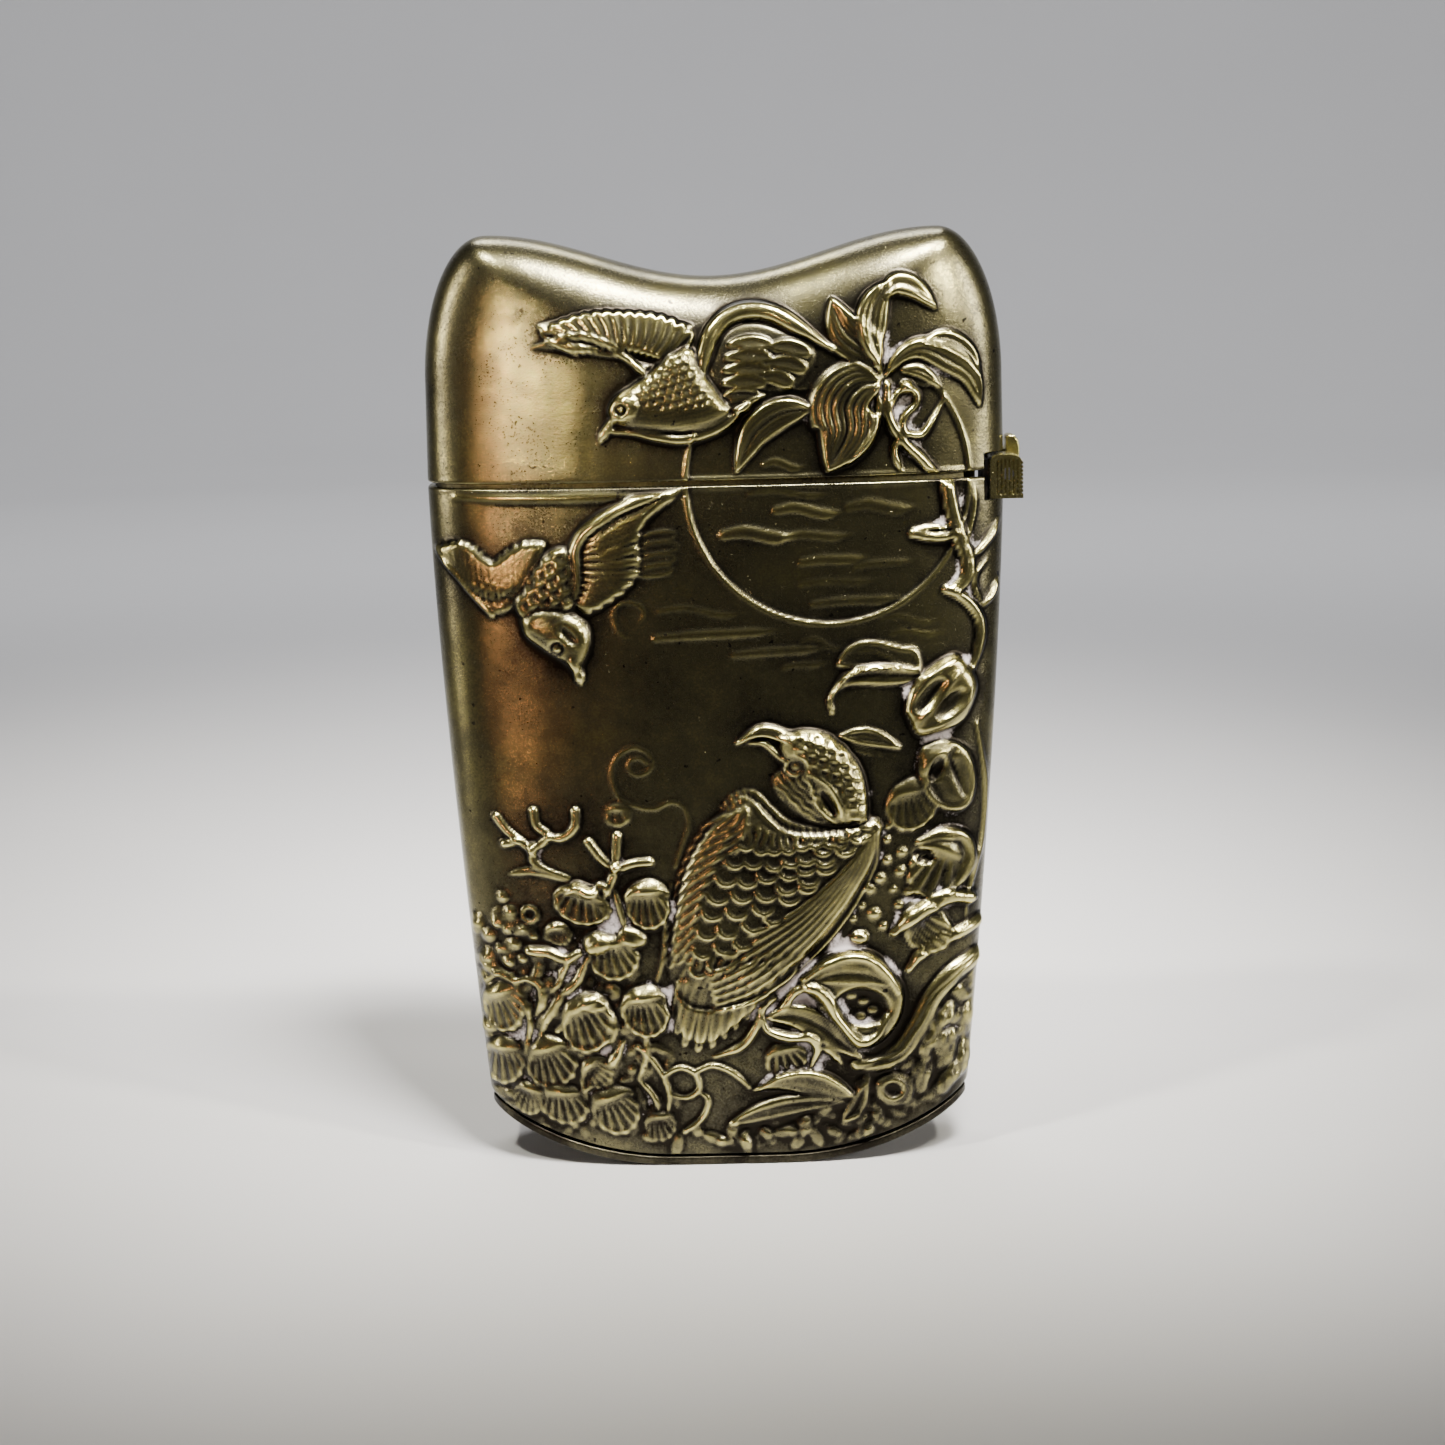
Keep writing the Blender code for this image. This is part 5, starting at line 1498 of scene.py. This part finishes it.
def mark_surface(item, relief, maps, side):
    """Writes the wear and painted highlight, the hollow dirt and painted shade, and the chalk on each
    point, from the relief on the outer face only.
    """
    count = len(item.data.vertices)
    points = np.empty(count * 3)
    item.data.vertices.foreach_get("co", points)
    points = points.reshape(-1, 3) / MM
    x, y, z = points.T
    below = z < SEAM
    half = np.where(below, body_half_width(z), lid_half_width(z))
    section = np.clip(1 - np.abs(x / half) ** SECTION_POWER, 0, 1) ** (1 / SECTION_POWER)
    wall = np.where(below, section * HALF_DEPTH, lid_depth(x, z))
    outside = np.abs(y) > wall - SHEET * 0.35 - 0.02
    shown = outside & (np.sign(y) == side)
    fade = side_fade(np.abs(y) / HALF_DEPTH)
    for name, field in maps.items():
        store(item.data, name, np.where(shown, sample(field, relief, x, z) * fade, 0.0))


def surface_maps(relief):
    """Where polishing has worn the relief bright, with a painted highlight on those heights; where dirt and
    painted shade lie deep, darker towards the foot; and where dried polish stayed.
    """
    pitch = relief.PITCH
    height = relief.height
    fine = height - blur(height, 0.14, pitch)
    broad = height - blur(height, 0.75, pitch)
    # Heights: real polishing wear plus a painted highlight, lightening the colour on ridges.
    wear_and_highlight = np.clip(fine / 0.06 * 0.7 + broad / 0.40 * 0.25, 0.0, 1.0)
    # Hollows: real dirt plus painted shade, darkening the colour in recesses.
    hollow = np.clip(-fine / 0.07 * 0.55 - broad / 0.28 * 0.65, 0.0, 1.0)
    chalk = 0.85 * blur(relief.chalk * ease((hollow - 0.25) / 0.5), 0.10, pitch)
    # Darker towards the foot, added to the hollow darkening.
    darker_towards_foot = 0.30 * ease((13.0 - relief.z_line) / 11.0)
    hollow = np.clip(hollow + darker_towards_foot[None, :], 0.0, 1.0)
    return {"wear_and_highlight": wear_and_highlight, "hollow": hollow, "chalk": chalk}


def side_fade(depth_share):
    """The pressing dies out where the wall turns to the side seam."""
    return ease((depth_share - SIDE_FADE_START) / SIDE_FADE_RUN)


def pushed_out(points, side, relief, to_rim, rim_fade):
    """The outer face pushed out by the relief, which dies out at the rims, and the rims rolled back."""
    normal = grid_normals(points, np.array([0, side, 0]))
    x, y, z = np.moveaxis(points, 2, 0)
    pressed = (sample(relief.height, relief, x, z) + wobble(x, z)) * side_fade(np.abs(y) / HALF_DEPTH)
    rise = pressed * ease(to_rim / rim_fade) - rim_roll(to_rim)
    return points + normal * rise[:, :, None]


def make_body_shell(label, side, relief, maps, materials):
    """Columns are closer across the quail, and rows from its head down, where the relief is finest."""
    fine = np.linspace(0.0, 1.0, FINE_STEPS)
    across, depth = polar_section(math.pi * fine)
    x = BODY_SPACING_HALF_WIDTH * across
    busy = (x > QUAIL_LEFT) & (x < QUAIL_RIGHT)
    gap = np.where(depth > 0.42, np.where(busy, BODY_PITCH, 1.2 * BODY_PITCH), BODY_SIDE_PITCH)
    shares = even_shares(np.stack([x, HALF_DEPTH * depth], axis=1), gap)
    height = SEAM - BODY_LIFT
    pitch = np.where(fine * height < QUAIL_TOP, 0.9 * BODY_PITCH, 1.2 * BODY_PITCH)
    gap = np.minimum(rim_gap(fine * height, pitch), rim_gap((1 - fine) * height, pitch))
    ups = even_shares(np.stack([0 * fine, fine * height], axis=1), gap)
    outer = body_surface(shares, ups, side, 0.0)
    to_rim = np.minimum(SEAM - SEAM_CLEARANCE - outer[:, :, 2], outer[:, :, 2] - outer[:, :1, 2])
    outer = pushed_out(outer, side, relief, to_rim, 0.5)
    inner = body_surface(shares, np.linspace(0.0, 1.0, INNER_ROWS), side, 1.0)
    notch = (HINGE[2] - NOTCH_BELOW, SEAM + NOTCH_PAST_SEAM)
    make_shell(f"body_{label}_shell", "case_body", outer, inner, side, relief, maps, materials, notch)


def make_lid_shell(label, side, relief, maps, materials):
    fine = np.linspace(0.0, 1.0, FINE_STEPS)
    across, depth = polar_section(math.pi * fine)
    gap = np.where(depth > 0.30, LID_PITCH, LID_SIDE_PITCH)
    shares = even_shares(np.stack([LID_SPACING_HALF_WIDTH * across, HALF_DEPTH * depth], axis=1), gap)
    lefts = 1 - fine
    z = DIP + (SEAM - DIP) * lefts**2
    y = lid_depth(0 * z, z)
    gap = np.minimum(rim_gap(z - SEAM, LID_PITCH), rim_gap(y, LID_PITCH))
    rows = even_shares(np.stack([y, z], axis=1), gap)
    lefts = (1 - rows) ** 2
    outer = lid_surface(shares, lefts, side, 0.0)
    outer = pushed_out(outer, side, relief, outer[:, :, 2] - outer[:, :1, 2], 0.4)
    inner = lid_surface(shares, np.linspace(1.0, 0.0, INNER_ROWS) ** 1.8, side, 1.0)
    notch = (SEAM - NOTCH_PAST_SEAM, HINGE[2] + NOTCH_ABOVE)
    make_shell(f"lid_{label}_shell", "lid", outer, inner, side, relief, maps, materials, notch)


def make_shell(node, body, outer, inner, side, relief, maps, materials, notch):
    """A closed sheet between its two faces, lined with the second material and notched for the hinge."""
    columns, rows = outer.shape[:2]
    faces = shell_faces(columns, rows, inner.shape[1])
    points = np.vstack([outer.reshape(-1, 3), inner.reshape(-1, 3)])
    item = add_mesh(f"stamped_{node}", points, faces, materials)
    face_outwards(item.data)
    outer_faces = (columns - 1) * (rows - 1)
    lining = np.zeros(len(item.data.polygons), np.int32)
    lining[outer_faces:outer_faces + (columns - 1) * (inner.shape[1] - 1)] = 1
    item.data.polygons.foreach_set("material_index", lining)
    apply_cuts(item, [notch_cutter(*notch)])
    finish_shading(item, 72)
    mark_surface(item, relief, maps, side)
    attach(item, body)
    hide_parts(node)


# ---------------------------------------------------------------- base plate and hinge


def make_base_plate(material):
    """The bent foot plate with softened edges and a finely ribbed underside."""
    columns = 361
    rows = 45
    x = BASE_HALF_WIDTH * np.sin(np.linspace(-math.pi / 2, math.pi / 2, columns))
    half = HALF_DEPTH * rounded(np.maximum(0.0, 1 - np.abs(x) / CORNER_HALF_WIDTH))
    share = np.sin(np.linspace(-math.pi / 2, math.pi / 2, rows))
    y = half[:, None] * share[None, :]
    lift = base_height(x)[:, None] + 0 * y
    edge = np.minimum(half[:, None] - np.abs(y), (BASE_HALF_WIDTH - np.abs(x))[:, None])
    soft = rim_roll(edge, 0.14)
    under = lift + soft + ribs_under(x[:, None] + 0 * y, y)
    over = lift + BASE_THICKNESS - soft
    grids = [np.stack([x[:, None] + 0 * y, y, z], axis=2) for z in (under, over)]
    points = np.vstack([grid.reshape(-1, 3) for grid in grids])
    item = add_mesh("ribbed_base_plate", points, shell_faces(columns, rows, rows), [material])
    face_outwards(item.data)
    finish_shading(item, 50)
    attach(item, "case_body")
    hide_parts("base_plate")


def ribs_under(x, y):
    """Fine grooves across the middle of the underside."""
    inside = ease((11.0 - np.abs(x)) / 0.6) * ease((4.2 - np.abs(y)) / 0.4)
    return 0.10 * inside * (0.5 - 0.5 * np.cos(2 * math.pi * x / 0.55)) ** 2


def add_profile(name, outline, y_low, y_high, material, body, node, bevel, grooves=()):
    """A knuckle: an outline in x and z about the hinge axis, drawn out along y, edges softened."""
    form = bmesh.new()
    verts = [form.verts.new(((HINGE[0] + x) * MM, y_low * MM, (HINGE[2] + z) * MM)) for x, z in outline]
    face = form.faces.new(verts)
    made = bmesh.ops.extrude_face_region(form, geom=[face])
    moved = [item for item in made["geom"] if isinstance(item, bmesh.types.BMVert)]
    bmesh.ops.translate(form, vec=(0, (y_high - y_low) * MM, 0), verts=moved)
    bmesh.ops.recalc_face_normals(form, faces=form.faces)
    mesh = bpy.data.meshes.new(name)
    form.to_mesh(mesh)
    form.free()
    mesh.materials.append(material)
    item = bpy.data.objects.new(name, mesh)
    bpy.context.scene.collection.objects.link(item)
    if grooves:
        apply_cuts(
            item, [add_box(f"groove_{index}", low, high) for index, (low, high) in enumerate(grooves)],
        )
    soften = item.modifiers.new("softened", "BEVEL")
    soften.width = bevel * MM
    soften.segments = 3
    soften.limit_method = "ANGLE"
    soften.angle_limit = math.radians(30)
    finish_shading(item, 40)
    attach(item, body)
    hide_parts(node)


def make_hinge(material):
    """Two reeded knuckles on the body and the lid's own between them."""
    radius = KNUCKLE_RADIUS
    teeth = []
    for index in range(TOOTH_COUNT):
        z = LOWEST_TOOTH + TOOTH_PITCH * index
        for depth, share in ((0.0, 0.0), (0.0, 0.55), (TOOTH_DEPTH, 0.66), (TOOTH_DEPTH, 0.9)):
            teeth.append((radius - depth, z + TOOTH_PITCH * share))
    top = [(0.78, 1.06), (0.52, 1.20), (0.20, 1.26), (-0.70, 1.26), (-1.02, 1.14), (-1.15, 0.85)]
    knuckle = teeth + top + [(-1.15, -1.6), (radius, -1.6)]
    for side, label in ((-1, "front"), (1, "rear")):
        end = side * (HINGE_HALF_LENGTH + 0.08)
        y_low, y_high = sorted((side * (CAM_HALF_LENGTH + KNUCKLE_GAP), end))
        cuts = []
        for x in np.arange(-0.75, 0.85, TOOTH_PITCH):
            low = (HINGE[0] + x, end - 0.14, HINGE[2] - 1.35)
            high = (HINGE[0] + x + 0.11, end + 0.14, HINGE[2] + 1.02 - 0.35 * x * x)
            cuts.append((low, high))
        add_profile(f"reeded_knuckle_{label}", knuckle, y_low, y_high, material, "case_body",
                    f"hinge_knuckle_{label}", bevel=0.03, grooves=cuts)
    strap = [(radius, 1.5), (0.92, 2.0), (0.66, 2.3), (0.30, 2.35), (0.10, 2.2), (0.10, radius)]
    cam = [(-radius, -radius), (radius, -radius)] + strap + [(-radius, radius)]
    add_profile("lid_knuckle_with_strap", cam, -CAM_HALF_LENGTH, CAM_HALF_LENGTH, material, "lid",
                "hinge_knuckle_lid", bevel=0.10)


# ---------------------------------------------------------------- materials


class Wiring:
    """Short calls for one material's nodes."""

    def __init__(self, name):
        self.material = bpy.data.materials.new(name)
        self.material.use_nodes = True
        self.tree = self.material.node_tree
        self.shader = self.tree.nodes["Principled BSDF"]

    def add(self, kind, settings=(), **inputs):
        node = self.tree.nodes.new(kind)
        for key, value in dict(settings).items():
            setattr(node, key, value)
        for key, value in inputs.items():
            self.feed(node.inputs[key.replace("_", " ")], value)
        return node

    def feed(self, socket, value):
        if isinstance(value, bpy.types.NodeSocket):
            self.tree.links.new(value, socket)
        else:
            socket.default_value = value

    def millimetres(self, stretch=(1, 1, 1), turn=(0, 0, 0)):
        place = self.add("ShaderNodeTexCoord").outputs["Object"]
        turns = [math.radians(angle) for angle in turn]
        node = self.add("ShaderNodeMapping", Vector=place, Rotation=turns, Scale=[s / MM for s in stretch])
        return node.outputs[0]

    def noise(self, place, scale, detail, roughness=0.55):
        sizes = {"Scale": scale, "Detail": detail, "Roughness": roughness}
        return self.add("ShaderNodeTexNoise", Vector=place, **sizes).outputs[0]

    def math(self, operation, first, second, third=0.0, clamp=False):
        node = self.add("ShaderNodeMath", {"operation": operation, "use_clamp": clamp})
        for socket, value in zip(node.inputs, (first, second, third)):
            self.feed(socket, value)
        return node.outputs[0]

    def band(self, value, low, high):
        """Rises smoothly from 0 at low to 1 at high."""
        node = self.add("ShaderNodeMapRange", {"interpolation_type": "SMOOTHSTEP"}, Value=value)
        node.inputs["From Min"].default_value = low
        node.inputs["From Max"].default_value = high
        return node.outputs[0]

    def blend(self, share, first, second, kind="RGBA"):
        node = self.add("ShaderNodeMix", {"data_type": kind})
        slots = {"RGBA": (0, 6, 7, 2), "FLOAT": (0, 2, 3, 0)}[kind]
        for slot_index, value in zip(slots, (share, first, second)):
            self.feed(node.inputs[slot_index], value)
        return node.outputs[slots[3]]

    def ramp(self, share, stops):
        node = self.add("ShaderNodeValToRGB", Fac=share)
        ramp = node.color_ramp
        while len(ramp.elements) < len(stops):
            ramp.elements.new(0.5)
        for element, (position, colour) in zip(ramp.elements, stops):
            element.position = position
            element.color = (*colour, 1.0)
        return node.outputs[0]

    def attribute(self, name):
        return self.add("ShaderNodeAttribute", {"attribute_name": name}).outputs["Fac"]

    def bump(self, height, distance_mm, strength, normal=None):
        node = self.add("ShaderNodeBump", Height=height, Distance=distance_mm * MM, Strength=strength)
        if normal is not None:
            self.feed(node.inputs["Normal"], normal)
        return node.outputs[0]


def brass_material(name, with_relief, tone=0.0, roughness=0.30):
    """Aged brass: olive patina over warm metal, worn bright on the heights with a painted highlight there,
    darker in the hollows from dirt and painted shade.
    """
    w = Wiring(name)
    place = w.millimetres()
    broad = w.noise(place, 0.16, 5.0, 0.6)
    middle = w.noise(place, 1.1, 6.0, 0.65)
    grain = w.noise(place, 6.5, 3.0, 0.65)
    brushed = w.noise(w.millimetres(stretch=(0.7, 0.7, 14.0), turn=(0, 12, 0)), 1.0, 4.0, 0.6)
    patina = w.math("MULTIPLY_ADD", broad, 0.9, -0.05 + tone)
    patina = w.math("MULTIPLY_ADD", middle, 0.30, patina)
    patina = w.math("MULTIPLY_ADD", grain, 0.42, patina)
    patina = w.math("SUBTRACT", patina, 0.19)
    if with_relief:
        # The hollow map darkens the colour as dirt and painted shade; the heights map lightens it as wear
        # and painted highlight.
        patina = w.math("MULTIPLY_ADD", w.attribute("hollow"), 0.70, patina)
        patina = w.math("MULTIPLY_ADD", w.attribute("wear_and_highlight"), -0.62, patina)
    specks = w.band(w.noise(place, 1.7, 2.0, 0.5), 0.70, 0.76)
    pits = w.band(w.noise(place, 5.5, 2.0, 0.5), 0.72, 0.78)
    patina = w.math("MULTIPLY_ADD", specks, 0.35, patina)
    patina = w.math("MULTIPLY_ADD", pits, 0.25, patina, clamp=True)
    colour = w.ramp(patina, [
        (0.0, (0.74, 0.67, 0.28)),
        (0.28, (0.37, 0.330, 0.128)),
        (0.55, (0.172, 0.156, 0.082)),
        (0.80, (0.056, 0.051, 0.034)),
        (1.0, (0.014, 0.012, 0.009)),
    ])
    rough = w.math("MULTIPLY_ADD", patina, 0.16, roughness - 0.15)
    rough = w.math("MULTIPLY_ADD", grain, 0.10, rough)
    metallic = 1.0
    if with_relief:
        breakup = w.math("MULTIPLY_ADD", middle, 1.1, w.math("MULTIPLY_ADD", grain, 0.8, -0.95))
        chalk = w.band(w.math("ADD", w.attribute("chalk"), breakup), 0.40, 0.95)
        colour = w.blend(chalk, colour, (0.44, 0.395, 0.395, 1.0))
        rough = w.blend(chalk, rough, 0.9, "FLOAT")
        metallic = w.math("SUBTRACT", 1.0, chalk)
    w.feed(w.shader.inputs["Base Color"], colour)
    w.feed(w.shader.inputs["Metallic"], metallic)
    w.feed(w.shader.inputs["Roughness"], rough)
    relief = w.bump(grain, 0.028, 0.5)
    relief = w.bump(brushed, 0.010, 0.45, relief)
    relief = w.bump(pits, -0.03, 0.5, relief)
    w.feed(w.shader.inputs["Normal"], relief)
    return w.material


def steel_material():
    """Dark tempered spring steel with drawn scratches and a little rust."""
    w = Wiring("tempered_spring_steel")
    place = w.millimetres()
    drawn = w.noise(w.millimetres(stretch=(10.0, 10.0, 0.6)), 1.0, 4.0)
    cloud = w.noise(place, 0.7, 5.0)
    rust = w.band(w.noise(place, 1.3, 6.0, 0.7), 0.58, 0.72)
    tone = w.math("MULTIPLY_ADD", drawn, 0.4, w.math("MULTIPLY", cloud, 0.6))
    colour = w.ramp(tone, [(0.25, (0.09, 0.085, 0.08)), (0.75, (0.34, 0.33, 0.31))])
    w.feed(w.shader.inputs["Base Color"], w.blend(rust, colour, (0.16, 0.075, 0.035, 1.0)))
    w.feed(w.shader.inputs["Metallic"], w.math("MULTIPLY_ADD", rust, -0.7, 1.0))
    rough = w.math("MULTIPLY_ADD", rust, 0.4, w.math("MULTIPLY_ADD", drawn, 0.2, 0.26))
    w.feed(w.shader.inputs["Roughness"], rough)
    w.feed(w.shader.inputs["Normal"], w.bump(drawn, 0.02, 0.5))
    return w.material


def stage_material(name, colour):
    w = Wiring(name)
    place = w.add("ShaderNodeTexCoord").outputs["Object"]
    cloud = w.noise(place, 9.0, 5.0, 0.6)
    darker = tuple(0.965 * value for value in colour)
    w.feed(w.shader.inputs["Base Color"], w.ramp(cloud, [(0.3, darker), (0.7, colour)]))
    w.shader.inputs["Roughness"].default_value = 0.75
    w.shader.inputs["Specular IOR Level"].default_value = 0.25
    return w.material


# ---------------------------------------------------------------- camera, stage and lights


def make_camera():
    distance, elevation, azimuth, roll = 180.05, math.radians(
        10.85,
    ), math.radians(0.445), math.radians(-1.32)
    target = np.array([0.09, 0.0, 29.32])
    level = math.cos(elevation)
    back = np.array([math.sin(azimuth) * level, -math.cos(azimuth) * level, math.sin(elevation)])
    level = np.cross(-back, (0, 0, 1))
    level /= np.linalg.norm(level)
    up = np.cross(level, -back)
    right = math.cos(roll) * level + math.sin(roll) * up
    top = -math.sin(roll) * level + math.cos(roll) * up
    data = bpy.data.cameras.new("camera")
    data.lens = 66.5
    data.sensor_width = 36.0
    data.clip_start = 0.01
    data.clip_end = 20.0
    camera = bpy.data.objects.new("camera", data)
    bpy.context.scene.collection.objects.link(camera)
    place = Matrix.Identity(4)
    for column, axis in enumerate((right, top, back, (target + distance * back) * MM)):
        for row in range(3):
            place[row][column] = axis[row]
    camera.matrix_world = place
    bpy.context.scene.camera = camera


def make_stage():
    """A pale round floor whose rim curves up into a wall, so that a camera can go right round the case."""
    floor_radius, bend, wall_top, sectors = 480.0, 200.0, 620.0, 72
    profile = [(radius, 0.0) for radius in np.linspace(60.0, floor_radius, 8)]
    profile += [
        (floor_radius + bend * math.sin(angle), bend * (1 - math.cos(angle)))
        for angle in np.radians(np.arange(10, 91, 10))
    ]
    profile.append((floor_radius + bend, wall_top))
    points = []
    for radius, z in profile:
        for turn in 2 * math.pi * np.arange(sectors) / sectors:
            points.append((radius * math.cos(turn), radius * math.sin(turn), z))
    faces = []
    for row in range(len(profile) - 1):
        near = row * sectors
        far = near + sectors
        for k in range(sectors):
            after = (k + 1) % sectors
            faces.append((near + k, far + k, far + after, near + after))
    points.append((0.0, 0.0, 0.0))
    faces += [(k, (k + 1) % sectors, len(points) - 1) for k in range(sectors)]
    bowl = add_mesh("pale_floor", points, faces, [stage_material("pale_paper", (0.52, 0.515, 0.52))])
    bowl.data.shade_smooth()


def add_light(name, place, towards, size, power, colour, spread):
    data = bpy.data.lights.new(name, "AREA")
    data.shape = "RECTANGLE"
    data.size, data.size_y = size[0] * MM, size[1] * MM
    data.energy = power
    data.color = colour
    data.spread = math.radians(spread)
    light = bpy.data.objects.new(name, data)
    bpy.context.scene.collection.objects.link(light)
    light.location = Vector(place) * MM
    light.rotation_euler = (Vector(towards) - Vector(place)).to_track_quat("-Z", "Y").to_euler()


def make_lights():
    world = bpy.data.worlds.new("dim_room")
    world.use_nodes = True
    background = world.node_tree.nodes["Background"]
    background.inputs["Color"].default_value = (0.92, 0.95, 1.0, 1.0)
    background.inputs["Strength"].default_value = 0.02
    bpy.context.scene.world = world
    add_light("key", (45, -90, 230), (0, 45, 30), (60, 45), 0.19, (1.0, 0.97, 0.92), 44)
    add_light("over_the_back", (-20, 160, 240), (0, 70, 30), (160, 60), 0.12, (1.0, 0.98, 0.95), 80)
    add_light("left_card", (-230, -40, 70), (0, 0, 35), (24, 150), 0.018, (1.0, 0.92, 0.80), 40)
    add_light("right_card", (230, -70, 80), (0, 0, 35), (30, 150), 0.030, (1.0, 0.96, 0.90), 40)
    add_light("warm_strip", (-105, -160, 34), (-8, 0, 38), (3, 60), 0.0016, (1.0, 0.50, 0.30), 34)
    add_light("left_spot", (-86, -184, 58), (-12, 0, 55), (5, 7), 0.00062, (1.0, 0.82, 0.52), 12)
    add_light("left_top_spot", (-84, -85, 212), (-8, 0, 50), (16, 16), 0.030, (1.0, 0.97, 0.84), 40)
    add_light("right_top_spot", (115, -85, 210), (8, 0, 50), (16, 16), 0.030, (1.0, 0.95, 0.82), 40)
    add_light("right_low_spot", (140, -128, 104), (8, 0, 50), (12, 24), 0.009, (1.0, 0.94, 0.76), 34)
    add_light("back_wall", (0, 230, 330), (0, 520, 0), (460, 160), 1.75, (0.97, 0.98, 1.0), 150)


# ---------------------------------------------------------------- the case


def main():
    make_camera()
    make_stage()
    make_lights()
    relief_brass = brass_material("aged_brass_relief", with_relief=True, roughness=0.26)
    # The foot plate's brass is darkened as painted shade, for the contact shadow along the bottom edge.
    foot_brass = brass_material("foot_brass_painted_shade", with_relief=False, tone=0.34)
    hinge_brass = brass_material("worn_hinge_brass", with_relief=False, tone=-0.24)
    lining_brass = brass_material("dull_inner_brass", with_relief=False, tone=0.16, roughness=0.45)
    steel = steel_material()
    for label, side, draw in (("front", -1, front_relief), ("back", 1, back_relief)):
        relief = draw()
        relief.roughen(0.012, 0.045, 0.060)
        relief.height = blur(relief.height, 0.05, relief.PITCH)
        maps = surface_maps(relief)
        make_body_shell(label, side, relief, maps, [relief_brass, lining_brass])
        make_lid_shell(label, side, relief, maps, [relief_brass, lining_brass])
    make_base_plate(foot_brass)
    make_hinge(hinge_brass)
    for node, material in (
        ("mouth_collar", lining_brass),
        ("spring_anchor", lining_brass),
        ("spring_rivet_upper", lining_brass),
        ("spring_rivet_lower", lining_brass),
        ("leaf_spring", steel),
        ("hinge_pin", steel),
    ):
        data = frame["nodes"][node].data
        data.materials.clear()
        data.materials.append(material)


main()
